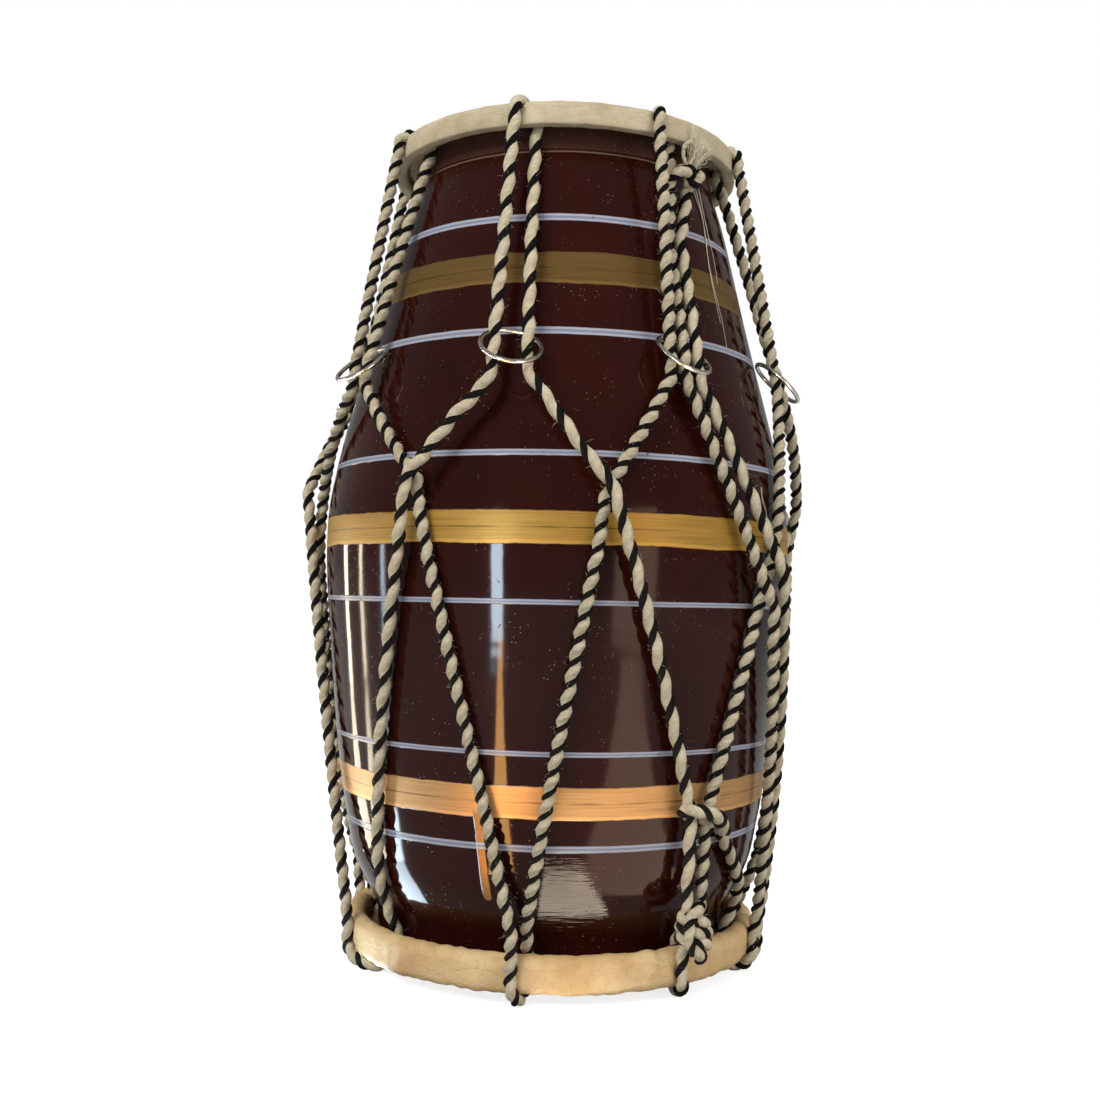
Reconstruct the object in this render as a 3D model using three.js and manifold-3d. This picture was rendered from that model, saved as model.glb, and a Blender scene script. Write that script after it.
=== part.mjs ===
// A dholak, the double-headed barrel drum, stood on its bass end.
// Millimetres, +Z up. The origin is where the drum's axis meets the floor, and the front faces -Y.

import * as THREE from 'three';
import { mergeVertices } from 'three/addons/utils/BufferGeometryUtils.js';
import Module from 'manifold-3d';

const wasm = await Module();
wasm.setup();

// Driving dimensions of the barrel
const hoopSpan = 430;
const bellyRadius = 127.2;
const bellyHeight = 216;
const trebleMouthRadius = 80.5;
const bassMouthRadius = 95.4;
const shellWall = 12;
const mouthRounding = 3;

// Hides and the stiff hoops lapped inside them
const trebleHoopThickness = 3;
const trebleHoopHeight = 7.3;
const trebleHide = 1.8;
const trebleMembrane = 1.2;
const trebleMouthProud = 1;
const bassHoopThickness = 5.9;
const bassHoopHeight = 14.4;
const bassHide = 2;
const bassMembrane = 1.5;
const bassMouthInset = 0.8;
const lapSlit = 0.8;
const pasteRadius = 48;
const pasteThickness = 2.5;

// Lacing rope and tension rings. Heights are shares of the span between the hoops.
const ropeDiameter = 7.2;
const trebleRopeBite = 1;
const bassRopeBite = 1.2;
const ropeFlatShare = 0.1;
const ringOuterDiameter = 31;
const ringWire = 2.2;
const ringHeightShare = 0.712;
const ringTravelShare = 0.4;
const ringTilt = 35;

// Running clearance between any two pieces, and the overrun of a cut
const clearance = 0.3;
const seamGap = 0.4;
const lacingEase = 0.5;
const ringEase = 1.5;
const crossingGap = 1.9;

// Fineness of the round forms
const turnedSides = 32;
const ropeSides = 8;
const lapSteps = 3;
const turnSteps = 6;
const ringSides = 6;
const ringSteps = 16;
const wrapSides = 6;
const wrapSteps = 8;

const fullTurn = 360;
const ropeRadius = ropeDiameter / 2;
const ropeReach = ropeRadius + clearance;

// Sections of the two rolls: a hoop with hide lapped round it, on the far side of the rope from the shell
function rollSection(mouthRadius, hoopThickness, hoopHeight, hide, bite) {
  const halfWidth = hoopThickness / 2 + clearance + hide;
  const halfHeight = hoopHeight / 2 + clearance + hide;
  const ropeOffset = halfWidth + ropeReach - bite;
  const innerRopeRadius = mouthRadius + ropeReach;
  return { halfWidth, halfHeight, hide, ropeOffset, innerRopeRadius, radius: innerRopeRadius + ropeOffset };
}

const trebleRoll = rollSection(
  trebleMouthRadius, trebleHoopThickness, trebleHoopHeight, trebleHide, trebleRopeBite
);
const bassRoll = rollSection(bassMouthRadius, bassHoopThickness, bassHoopHeight, bassHide, bassRopeBite);

// The drum stands on its rope turns, which are cut flat where they meet the floor
const ropeFlat = ropeFlatShare * ropeDiameter;
const base = ropeReach - bassRopeBite + ropeRadius - ropeFlat;
bassRoll.height = base + bassRoll.halfHeight;
trebleRoll.height = base + hoopSpan - trebleRoll.halfHeight;
const bassMouth = base + bassMouthInset;
const trebleMouth = base + hoopSpan + trebleMouthProud;
const belly = base + bellyHeight;

// The barrel's outline on each side of its belly: share of the rise from the mouth, share of the swell
const bassOutlineShares = [
  [0, 0], [0.05, 0], [0.09, 0.02], [0.13, 0.13], [0.17, 0.27], [0.22, 0.42], [0.33, 0.58], [0.53, 0.77],
  [0.74, 0.9], [0.92, 0.985],
];
const trebleOutlineShares = [
  [1, 1], [0.91, 0.98], [0.81, 0.9], [0.656, 0.728], [0.535, 0.578], [0.4, 0.418], [0.26, 0.261],
  [0.19, 0.178], [0.144, 0.114], [0.09, 0.036], [0.05, 0], [0, 0],
];

function outlinePoint(mouth, mouthRadius, [riseShare, swellShare]) {
  const radius = mouthRadius + (bellyRadius - mouthRadius) * swellShare;
  return new THREE.Vector2(radius, mouth + (belly - mouth) * riseShare);
}

const outline = [
  ...bassOutlineShares.map((shares) => outlinePoint(bassMouth, bassMouthRadius, shares)),
  ...trebleOutlineShares.map((shares) => outlinePoint(trebleMouth, trebleMouthRadius, shares)),
];

// Radius along a chain of points that climbs in height
function radiusOn(chain, height) {
  const k = Math.min(Math.max(chain.findIndex((p) => p.y >= height), 1), chain.length - 1);
  const [low, high] = [chain[k - 1], chain[k]];
  return THREE.MathUtils.mapLinear(height, low.y, high.y, low.x, high.x);
}

const shellRadius = (height) => radiusOn(outline, height);

// The outline moved outwards by a distance, square to itself
function offsetOutline(distance) {
  return outline.map((p, k) => {
    const before = outline[Math.max(k - 1, 0)];
    const after = outline[Math.min(k + 1, outline.length - 1)];
    const along = after.clone().sub(before).normalize();
    return new THREE.Vector2(p.x + along.y * distance, p.y - along.x * distance);
  });
}

// A geometry with its shared corners joined, which is done before it is turned or moved
function welded(geometry) {
  const bare = geometry.clone();
  bare.deleteAttribute('normal');
  bare.deleteAttribute('uv');
  return mergeVertices(bare);
}

// Geometry to solid and back
function solidOf(geometry) {
  const merged = geometry.attributes.uv ? welded(geometry) : geometry;
  const index = merged.index.array;
  const faces = [];
  for (let k = 0; k < index.length; k += 3) {
    const [a, b, c] = index.slice(k, k + 3);
    if (a !== b && b !== c && c !== a) faces.push(a, b, c);
  }
  const place = merged.attributes.position;
  const corner = (k) => new THREE.Vector3().fromBufferAttribute(place, k);
  let volume = 0;
  for (let k = 0; k < faces.length; k += 3) {
    volume += corner(faces[k]).dot(corner(faces[k + 1]).cross(corner(faces[k + 2])));
  }
  if (volume < 0) faces.reverse();
  const [vertProperties, triVerts] = [new Float32Array(place.array), new Uint32Array(faces)];
  return new wasm.Manifold(new wasm.Mesh({ numProp: 3, vertProperties, triVerts }));
}

function geometryOf(solid) {
  const mesh = solid.getMesh();
  const geometry = new THREE.BufferGeometry();
  geometry.setAttribute('position', new THREE.BufferAttribute(mesh.vertProperties, 3));
  geometry.setIndex(new THREE.BufferAttribute(mesh.triVerts, 1));
  geometry.computeVertexNormals();
  return geometry;
}

const largestBody = (solid) => solid.decompose().sort((a, b) => b.volume() - a.volume())[0];

function turned(profile) {
  return new THREE.LatheGeometry(profile, turnedSides).rotateX(Math.PI / 2);
}

// A point at an angle in degrees from the front, positive to the right
function around(angle, radius, height) {
  const a = THREE.MathUtils.degToRad(angle);
  return new THREE.Vector3(radius * Math.sin(a), -radius * Math.cos(a), height);
}

// Half an arc about a centre in a profile, from one angle in degrees to another
function arc(x, y, radius, from, to, steps) {
  return Array.from({ length: steps + 1 }, (_, k) => {
    const a = THREE.MathUtils.degToRad(from + ((to - from) * k) / steps);
    return new THREE.Vector2(x + radius * Math.cos(a), y + radius * Math.sin(a));
  });
}

// Shell, whose bore follows every few points of its outline
const boreStride = 4;

function shellProfile() {
  const foot = outline[0];
  const head = outline[outline.length - 1];
  const outer = [
    new THREE.Vector2(foot.x - mouthRounding, foot.y),
    new THREE.Vector2(foot.x - mouthRounding / 4, foot.y + mouthRounding / 4),
    new THREE.Vector2(foot.x, foot.y + mouthRounding),
    ...outline.slice(1, -1),
    new THREE.Vector2(head.x, head.y - mouthRounding),
    new THREE.Vector2(head.x - mouthRounding / 4, head.y - mouthRounding / 4),
    new THREE.Vector2(head.x - mouthRounding, head.y),
  ];
  const bore = outline.filter((_, k) => k % boreStride === 0).reverse();
  const inner = bore.map((p) => new THREE.Vector2(p.x - shellWall, p.y));
  inner[0].y = head.y;
  inner[inner.length - 1].y = foot.y;
  return [...outer, ...inner, outer[0].clone()];
}

// Hides: a flat membrane over the mouth, a web out to the hoop and a lap round it, open at a slit.
// The profile is drawn for the treble end and turned over for the bass.
function hideProfile(roll, mouth, mouthRadius, membrane, up) {
  const { halfWidth: a, halfHeight: b, hide, radius } = roll;
  const straight = b - a;
  const top = mouth + up * (clearance + membrane);
  const under = mouth + up * clearance;
  const edge = mouthRadius - mouthRounding / 2;
  const webTop = roll.height + up * straight;
  const point = (x, y) => new THREE.Vector2(x, y);
  const lap = (size, from, to, level) =>
    arc(radius, roll.height + up * level, size, up * from, up * to, lapSteps);
  const lip = webTop - up * (hide + lapSlit);
  return [
    point(0, top),
    point(edge, top),
    point(edge + mouthRounding, webTop),
    ...lap(a, 180, 0, straight),
    ...lap(a, 0, -180, -straight),
    point(radius - a, lip),
    point(radius - a + hide, lip),
    ...lap(a - hide, -180, 0, -straight),
    ...lap(a - hide, 0, 180, straight),
    point(radius - a + hide, webTop - up * hide),
    point(mouthRadius + clearance, webTop - up * hide),
    point(mouthRadius + clearance, mouth - up * mouthRounding),
    point(mouthRadius - mouthRounding / 4 + clearance, under - up * (mouthRounding / 4)),
    point(mouthRadius - mouthRounding, under),
    point(0, under),
  ];
}

function hoopProfile(roll) {
  const a = roll.halfWidth - roll.hide - clearance;
  const straight = roll.halfHeight - roll.halfWidth;
  const upper = arc(roll.radius, roll.height + straight, a, 0, 180, lapSteps);
  const lower = arc(roll.radius, roll.height - straight, a, 180, 360, lapSteps);
  return [...upper, ...lower, upper[0].clone()];
}

// Lacing. A tube's stations are chosen one by one, close where it bends and far apart where it is straight.
class StationPath extends THREE.Curve {
  constructor(stations) {
    super();
    this.stations = stations;
  }

  getPoint(t) {
    const place = t * (this.stations.length - 1);
    const k = Math.min(Math.floor(place), this.stations.length - 2);
    return this.stations[k].clone().lerp(this.stations[k + 1], place - k);
  }

  getPointAt(u) {
    return this.getPoint(u);
  }

  getTangentAt(u) {
    const k = Math.round(u * (this.stations.length - 1));
    const before = this.stations[Math.max(k - 1, 0)];
    const after = this.stations[Math.min(k + 1, this.stations.length - 1)];
    return after.clone().sub(before).normalize();
  }
}

function tube(stations, radius) {
  const section = new THREE.Shape(arc(0, 0, radius, 0, fullTurn, ropeSides).slice(0, -1));
  const steps = stations.length - 1;
  const extrudePath = new StationPath(stations);
  return solidOf(new THREE.ExtrudeGeometry(section, { steps, extrudePath, bevelEnabled: false }));
}

// Angles in degrees of the lacing points, going round to the right from the left of the front:
// the tops where the rope crosses the treble hoop, the rings, and the feet where it crosses the bass hoop
const topAngles = [-60.5, -12.6, 33, 75, 121, 166, 211, 256];
const ringAngles = [-57.5, -11.3, 28.8, 73, 121, 166, 211, 256];
const footAngles = [-59, -7.6, 36.5, 78.5, 123, 168, 213, 258];
const topHalfAngles = [4.2, 2.5, 5, 3, 3.2, 3, 3.2, 3];
const footHalfAngles = [8, 1.5, 2.5, 1.8, 3, 2.5, 3, 3.5];

// Where each pair's right-hand strand crosses the next pair's left-hand one: angle, share of the span, and
// which of the two lies on top
const crossingAngles = [-31.5, 10, 50, 97.5, 143.5, 188.5, 233.5, 277];
const crossingShares = [0.567, 0.558, 0.433, 0.563, 0.567, 0.56, 0.565, 0.565];
const crossedBy = ['left', 'right', 'right', 'right', 'left', 'right', 'left', 'right'];
const count = topAngles.length;
const wrap = (k) => (k + count) % count;
const onTurn = (angles, k) => angles[wrap(k)] + Math.floor(k / count) * fullTurn;

// A pair bears on the two ends of its ring, which pushes both strands off the shell
const ringHeight = ringHeightShare * hoopSpan;
const ringTravel = ringTravelShare * (hoopSpan - ringHeight);
const ringRadius = (ringOuterDiameter - ringWire) / 2;
const ringPairHalfGap = ringRadius - ringWire / 2 - ropeReach - ringEase;
const ringSpreadShare = 0.75;
const ringSpread = ringSpreadShare * ringRadius;
const tilt = THREE.MathUtils.degToRad(ringTilt);
const ringCentre = base + ringHeight;
const ringRise = ringRadius * Math.sin(tilt) + ringWire + clearance;
const ringStrandRadius = shellRadius(ringCentre) + ringRise;

// A taut strand takes the outermost line over the shell and what lifts it
const rest = offsetOutline(ropeReach + lacingEase);

function tautLine(low, high, lifts) {
  const between = [...rest, ...lifts].filter((p) => p.y > low.y && p.y < high.y);
  const points = [low, ...between.sort((p, q) => p.y - q.y), high];
  const chain = [];
  for (const p of points) {
    while (chain.length > 1) {
      const [a, b] = chain.slice(-2);
      if ((b.x - a.x) * (p.y - a.y) > (p.x - a.x) * (b.y - a.y)) break;
      chain.pop();
    }
    chain.push(p);
  }
  return chain;
}

// Stations of a strand, as levels above the bass hoop. Below the seam the strand belongs to the turn under
// the bass hoop, above it to the run up to the treble hoop.
const bassSeam = 2 * bassRoll.halfHeight + ropeDiameter;
const seamReach = ropeRadius + seamGap;
const crossingReachShares = [-3.6, -1.7, 1.7, 3.6];
const stationGap = ropeDiameter;
const trebleSeam = trebleRoll.height - trebleRoll.halfHeight / 2 - base;
const bassLeg = bassRoll.height + bassRoll.halfHeight - bassRoll.halfWidth;

const degreesFor = (length, radius) => THREE.MathUtils.radToDeg(length / radius);

// One strand from the bass hoop up to the treble hoop. side is -1 for the left of a pair, 1 for the right.
// Its route is a list of [angle, level], and the options change where it starts, passes and ends.
function strand(k, side, { foot, footOutside, lowRoute, crossing, ringOffset, aboveRing, top } = {}) {
  const cross = side > 0 ? k : k - 1;
  const [crossAngle, crossShare] = crossing ?? [onTurn(crossingAngles, cross), crossingShares[wrap(cross)]];
  const crossLevel = crossShare * hoopSpan;
  const outside = { top: side < 0, foot: footOutside ?? side > 0 };
  const footAngle = foot ?? onTurn(footAngles, k + side) - side * footHalfAngles[wrap(k + side)];
  const footRadius = bassRoll.radius + (outside.foot ? 1 : -1) * bassRoll.ropeOffset;
  const topRadius = trebleRoll.radius + (outside.top ? 1 : -1) * trebleRoll.ropeOffset;
  const ringSide = ringOffset ?? side * ringPairHalfGap;
  const ringAngle = onTurn(ringAngles, k) + degreesFor(ringSide, ringStrandRadius);
  const rollLevel = outside.top ? trebleRoll.height - base : trebleSeam;
  const [topAngle, topLevel] = top ?? [onTurn(topAngles, k) + side * topHalfAngles[wrap(k)], rollLevel];
  const point = (x, level) => new THREE.Vector2(x, base + level);

  const lifts = [point(ringStrandRadius, ringHeight)];
  const liesOnTop = crossedBy[wrap(cross)] === (side > 0 ? 'right' : 'left');
  if (liesOnTop) {
    const pile = ropeReach + ropeDiameter + crossingGap;
    lifts.push(point(shellRadius(base + crossLevel) + pile, crossLevel));
  }
  const chain = tautLine(new THREE.Vector2(footRadius, bassLeg), point(topRadius, rollLevel), lifts);
  const route = [
    point(footAngle, bassLeg - base),
    ...(lowRoute ?? [[footAngle, bassSeam + seamReach]]).map(([angle, level]) => point(angle, level)),
    point(crossAngle, crossLevel),
    point(ringAngle, ringHeight - ringSpread),
    point(ringAngle, ringHeight),
    ...(aboveRing ? [point(aboveRing, ringHeight + ringTravel + ringSpread)] : []),
    point(topAngle, topLevel),
  ];
  const fixed = [
    ...route.map((p) => p.y - base),
    bassSeam - seamReach,
    bassSeam - seamGap / 2,
    bassSeam + seamGap / 2,
    ...(liesOnTop ? crossingReachShares : []).map((share) => crossLevel + share * ropeDiameter),
  ];
  const bends = chain.map((p) => p.y - base).filter((level) =>
    level < topLevel && fixed.every((other) => Math.abs(other - level) > stationGap)
  );
  return [...fixed, ...bends].sort((a, b) => a - b).map((level) => {
    const height = base + level;
    return around(radiusOn(route, height), radiusOn(chain, height), height);
  });
}

// How many of a strand's stations lie below the seam, in the turn under the bass hoop
const turnStations = 3;
const runOf = (stations) => stations.slice(turnStations);
const legOf = (stations) => stations.slice(0, turnStations).reverse();

// The rope's half turn over the treble roll, from the outer side to the inner
function trebleTurn(k, outerAngle, innerAngle) {
  const level = trebleRoll.height + trebleRoll.halfHeight - trebleRoll.halfWidth;
  return arc(trebleRoll.radius, level, trebleRoll.ropeOffset, 0, 180, turnSteps).map((p, step) =>
    around(THREE.MathUtils.lerp(outerAngle, innerAngle, step / turnSteps), p.x, p.y)
  );
}

const angleOf = (p) => THREE.MathUtils.radToDeg(Math.atan2(p.x, -p.y));

// The rope's half turn under the bass roll, from the end of one strand to the start of the next
function bassTurn(outer, inner) {
  const level = bassRoll.height - bassRoll.halfHeight + bassRoll.halfWidth;
  const from = angleOf(outer[0]);
  const halfTurn = fullTurn / 2;
  const apart = THREE.MathUtils.euclideanModulo(angleOf(inner[0]) - from + halfTurn, fullTurn) - halfTurn;
  const bend = arc(bassRoll.radius, level, bassRoll.ropeOffset, 0, -180, turnSteps).map((p, step) =>
    around(from + (apart * step) / turnSteps, p.x, p.y)
  );
  return [...legOf(outer), ...bend, ...legOf(inner).reverse()];
}

// The two ropes. The first starts in the treble knot with a strand that shares the third pair's ring, and
// comes back under the bass hoop as a tail to the bass knot. The second is tied off in the bass knot.
const knotStrandAngles = [34, 38.3];
const wrapStrandAngles = [32.7, 37.8];
const wrapLevelShare = 0.198;
const wrapLevel = wrapLevelShare * hoopSpan;
const returnFootAngles = [69, 65.5];
const aboveRingAngles = [30, 34.2];
const startTopAngle = 41.5;
const startTopShare = 0.921;
const startCrossingAngle = 53.3;
const startCrossingShare = 0.472;

const [rightIntoKnot, leftIntoKnot] = knotStrandAngles.map((angle, k) => ({
  foot: angle,
  footOutside: true,
  lowRoute: [[angle, bassSeam + seamReach], [wrapStrandAngles[k], wrapLevel]],
}));
const [returnFoot, returnLegFoot] = returnFootAngles;
const [returnAboveRing, startAboveRing] = aboveRingAngles;
const returning = { ringOffset: 0, foot: returnFoot, aboveRing: returnAboveRing };
const leftStrands = topAngles.map((_, k) => strand(k, -1, [{}, {}, {}, leftIntoKnot][k]));
const rightStrands = topAngles.map((_, k) => strand(k, 1, [{}, rightIntoKnot, returning][k]));
const startStrand = strand(2, 1, {
  crossing: [startCrossingAngle, startCrossingShare],
  aboveRing: startAboveRing,
  top: [startTopAngle, startTopShare * hoopSpan],
});
const [firstLeft, , , wrappedLeft] = leftStrands;
const [, wrappedRight, returningRight] = rightStrands;

const lacing = {};
topAngles.forEach((_, k) => {
  const ends = [leftStrands[k], rightStrands[k]].map((stations) => angleOf(stations[stations.length - 1]));
  if (ends[1] < ends[0]) ends[1] += fullTurn;
  lacing[`lacing_${k + 1}`] = [
    ...runOf(leftStrands[k]),
    ...trebleTurn(k, ...ends),
    ...runOf(rightStrands[k]).reverse(),
  ];
});
lacing.lacing_9 = runOf(startStrand);

const innerLeg = (angle, from) => from.map((p) => around(angle, Math.hypot(p.x, p.y), p.z));
const bassTurns = {};
footAngles.forEach((_, k) => {
  const arriving = k === 3 ? startStrand : rightStrands[wrap(k - 1)];
  const leaving = k === 2 ? innerLeg(leftIntoKnot.foot, firstLeft) : leftStrands[wrap(k + 1)];
  bassTurns[`bass_turn_${k + 1}`] = bassTurn(arriving, leaving);
});
bassTurns.bass_turn_9 = bassTurn(returningRight, innerLeg(returnLegFoot, firstLeft));

// The tail, from behind the bass hoop up to the bass knot: angles, and shares of the rise from seam to wrap
const tailAngles = [65.5, 65.3, 63, 59, 54.5, 50, 46.5, 44];
const tailShares = [0, 0.063, 0.2, 0.336, 0.472, 0.625, 0.744, 0.847];
const tailLine = tautLine(
  new THREE.Vector2(bassRoll.radius - bassRoll.ropeOffset, bassLeg),
  new THREE.Vector2(shellRadius(base + wrapLevel) + ropeReach + lacingEase, base + wrapLevel),
  []
);
const tail = tailAngles.map((angle, k) => {
  const height = base + THREE.MathUtils.lerp(bassSeam + seamGap / 2, wrapLevel, tailShares[k]);
  return around(angle, radiusOn(tailLine, height), height);
});
lacing.lacing_tail = tail;

// Tension rings, each on its pair of strands: tilted so that the upper arc lies behind the strands
function ringPlace(k) {
  const partner = k === 2 ? startStrand : rightStrands[k];
  const at = (stations, height) => {
    const above = stations.findIndex((p) => p.z >= height);
    const [a, b] = [stations[above - 1], stations[above]];
    return a.clone().lerp(b, (height - a.z) / (b.z - a.z));
  };
  const pair = (height) => [at(leftStrands[k], height), at(partner, height)];
  const midpoint = ([a, b]) => a.clone().lerp(b, 1 / 2);
  const low = pair(ringCentre);
  const high = pair(ringCentre + ringTravel);
  const [left, right] = pair(ringCentre + ringTravel / 2);
  const travel = midpoint(high).sub(midpoint(low)).normalize();
  const across = right.sub(left);
  across.addScaledVector(travel, -across.dot(travel)).normalize();
  const outward = across.clone().cross(travel);
  const up = travel.clone().multiplyScalar(Math.cos(tilt)).addScaledVector(outward, -Math.sin(tilt));
  const turn = new THREE.Matrix4().makeBasis(across, up, across.clone().cross(up));
  return { centre: midpoint(low), travel, turn };
}

// Materials
function finish(color, roughness, metalness) {
  return new THREE.MeshStandardMaterial({ color, roughness, metalness });
}

const lacquer = () => finish(0x35120c, 0.2, 0);
const paleHide = () => finish(0xd9cdb0, 0.7, 0);
const tanHide = () => finish(0xc9a670, 0.7, 0);
const cotton = () => finish(0xb8ac92, 0.95, 0);
const steel = () => finish(0xb9b7b0, 0.3, 1);
const iron = () => finish(0x4a4744, 0.6, 0.8);
const clay = () => finish(0x2a2522, 0.9, 0);

const drum = new THREE.Group();

function add(name, geometry, material) {
  const mesh = new THREE.Mesh(geometry, material);
  mesh.name = name;
  drum.add(mesh);
  return mesh;
}

const middle = (values) => (Math.max(...values) + Math.min(...values)) / 2;
const half = (values) => (Math.max(...values) - Math.min(...values)) / 2;
const wrapOffsetShare = 0.4;
const wrapOffset = wrapOffsetShare * ropeDiameter;

// A knot: wraps of rope round the strands that pass through it, each with its rise and its lean from side to
// side in ropes, joined by what is tied up inside them
function knot(level, wraps, strands) {
  const height = base + level;
  const places = strands.map((stations) => stations.reduce((near, p) =>
    Math.abs(p.z - height) < Math.abs(near.z - height) ? p : near
  ));
  const angle = middle(places.map(angleOf));
  const radii = places.map((p) => Math.hypot(p.x, p.y));
  const across = THREE.MathUtils.degToRad(half(places.map(angleOf))) * middle(radii) + wrapOffset;
  const out = half(radii) + wrapOffset;
  const loops = wraps.map(([rise, lean]) => {
    const points = arc(0, 0, 1, 0, fullTurn, wrapSteps).slice(0, -1);
    const path = points.map((p) =>
      new THREE.Vector3(across * p.x, out * p.y, (rise + lean * p.x) * ropeDiameter)
    );
    const curve = new THREE.CatmullRomCurve3(path, true);
    return new THREE.TubeGeometry(curve, wrapSteps, ropeRadius, wrapSides, true);
  });
  const rises = wraps.map(([rise]) => rise * ropeDiameter);
  const core = new THREE.SphereGeometry(1, wrapSteps, wrapSides);
  core.scale(across, out, half(rises) + ropeRadius).translate(0, 0, middle(rises));
  const place = around(angle, middle(radii), height);
  const parts = [core, ...loops].map((part) => {
    const set = welded(part).rotateZ(THREE.MathUtils.degToRad(angle));
    return solidOf(set.translate(place.x, place.y, place.z));
  });
  return parts.reduce((all, part) => all.add(part));
}

add('shell', geometryOf(solidOf(turned(shellProfile()))), lacquer());
add('treble_hoop', geometryOf(solidOf(turned(hoopProfile(trebleRoll)))), iron());
add('bass_hoop', geometryOf(solidOf(turned(hoopProfile(bassRoll)))), iron());

const runCuts = Object.values(lacing).map((stations) => tube(stations, ropeReach));
const turnCuts = Object.values(bassTurns).map((stations) => tube(stations, ropeReach));
const trebleHeadProfile = hideProfile(trebleRoll, trebleMouth, trebleMouthRadius, trebleMembrane, 1);
const bassHeadProfile = hideProfile(bassRoll, bassMouth, bassMouthRadius, bassMembrane, -1);
const cutBy = (solid, cuts) => largestBody(cuts.reduce((left, cut) => left.subtract(cut), solid));
add('treble_skin', geometryOf(cutBy(solidOf(turned(trebleHeadProfile)), runCuts)), paleHide());
add('bass_skin', geometryOf(cutBy(solidOf(turned(bassHeadProfile)), turnCuts)), tanHide());

const pasteProfile = [
  new THREE.Vector2(0, bassMouth),
  new THREE.Vector2(pasteRadius, bassMouth),
  new THREE.Vector2(pasteRadius - pasteThickness, bassMouth + pasteThickness),
  new THREE.Vector2(0, bassMouth + pasteThickness),
];
add('bass_paste', geometryOf(solidOf(turned(pasteProfile))), clay());

ringAngles.map((_, k) => ringPlace(k)).forEach(({ centre, travel, turn }, k) => {
  const shape = new THREE.TorusGeometry(ringRadius, ringWire / 2, ringSides, ringSteps);
  const ring = add(`tension_ring_${k + 1}`, shape, steel());
  ring.position.copy(centre);
  ring.quaternion.setFromRotationMatrix(turn);
  ring.userData.slide = { axis: travel.toArray(), length: ringTravel };
});

const floorSize = 2 * bellyRadius;
const floorBox = new THREE.BoxGeometry(2 * floorSize, 2 * floorSize, floorSize);
const floor = solidOf(floorBox.translate(0, 0, -floorSize / 2));
for (const [name, stations] of Object.entries(lacing)) {
  add(name, geometryOf(tube(stations, ropeRadius)), cotton());
}
for (const [name, stations] of Object.entries(bassTurns)) {
  add(name, geometryOf(tube(stations, ropeRadius).subtract(floor)), cotton());
}

// Knots, clear of the shell, of the lapped hides and of the strands that run through them
const onAxis = (height) => new THREE.Vector2(0, height);
const spaceOf = (profile) => solidOf(turned(profile));
const shellSpace = spaceOf([onAxis(bassMouth), ...offsetOutline(clearance), onAxis(trebleMouth)]);
const rollSpaces = [bassRoll, trebleRoll].map(({ radius, halfWidth, halfHeight, height }) => {
  const edge = radius + halfWidth + clearance;
  const [low, high] = [height - halfHeight - clearance, height + halfHeight + clearance];
  return spaceOf([onAxis(low), new THREE.Vector2(edge, low), new THREE.Vector2(edge, high), onAxis(high)]);
});
const past = (end, next) => end.clone().add(end.clone().sub(next).setLength(clearance));
const longer = (stations) => {
  const [second, lastButOne] = [stations[1], stations[stations.length - 2]];
  const ends = [past(stations[0], second), past(stations[stations.length - 1], lastButOne)];
  return [ends[0], ...stations.slice(1, -1), ends[1]];
};
const tubesOf = (strands) => strands.map((stations) => tube(longer(stations), ropeReach));
const trebleKnotShare = 0.93;
const trebleWrapShares = [[-0.6, 0.2], [0.5, -0.1]];
const bassKnotShare = 0.072;
const bassWrapShares = [[-1.1, 0.2], [0, -0.2], [1.1, 0.2]];
const tieWrapShares = [[0, 0.2]];
const wrapped = [wrappedRight, wrappedLeft];
const bassKnotStrands = [lacing.lacing_2, lacing.lacing_4];
const knots = {
  treble_knot: [
    knot(trebleKnotShare * hoopSpan, trebleWrapShares, [returningRight, startStrand]),
    [lacing.lacing_3, lacing.lacing_9],
  ],
  bass_knot: [
    knot(bassKnotShare * hoopSpan, bassWrapShares, wrapped),
    [...bassKnotStrands, bassTurns.bass_turn_3],
  ],
  bass_wrap: [
    knot(wrapLevel, tieWrapShares, wrapped),
    [...bassKnotStrands, tail],
  ],
};
for (const [name, [body, strands]] of Object.entries(knots)) {
  add(name, geometryOf(cutBy(body, [shellSpace, ...rollSpaces, ...tubesOf(strands)])), cotton());
}

export default drum;
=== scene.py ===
"""A dholak stood on its bass end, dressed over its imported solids.

Lengths are written in millimetres and meshes are made in metres. +Z is up and the front faces -Y.
"""

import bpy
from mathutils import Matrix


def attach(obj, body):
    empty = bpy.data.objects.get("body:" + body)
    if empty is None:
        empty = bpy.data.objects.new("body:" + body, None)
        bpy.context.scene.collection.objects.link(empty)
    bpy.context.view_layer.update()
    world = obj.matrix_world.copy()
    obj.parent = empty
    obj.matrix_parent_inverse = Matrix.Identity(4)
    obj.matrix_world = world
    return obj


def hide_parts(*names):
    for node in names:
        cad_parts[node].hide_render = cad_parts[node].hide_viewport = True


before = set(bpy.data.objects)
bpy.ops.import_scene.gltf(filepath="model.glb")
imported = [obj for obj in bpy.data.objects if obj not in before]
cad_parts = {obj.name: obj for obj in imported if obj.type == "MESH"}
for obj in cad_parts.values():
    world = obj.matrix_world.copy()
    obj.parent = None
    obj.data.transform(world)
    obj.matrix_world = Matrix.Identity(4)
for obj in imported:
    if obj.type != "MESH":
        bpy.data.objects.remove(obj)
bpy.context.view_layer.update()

import math
from functools import reduce

import bmesh
import bpy
import numpy as np
from bpy.props import FloatProperty, FloatVectorProperty, IntProperty, PointerProperty
from mathutils import Matrix, Vector, noise
from mathutils.kdtree import KDTree

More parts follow.
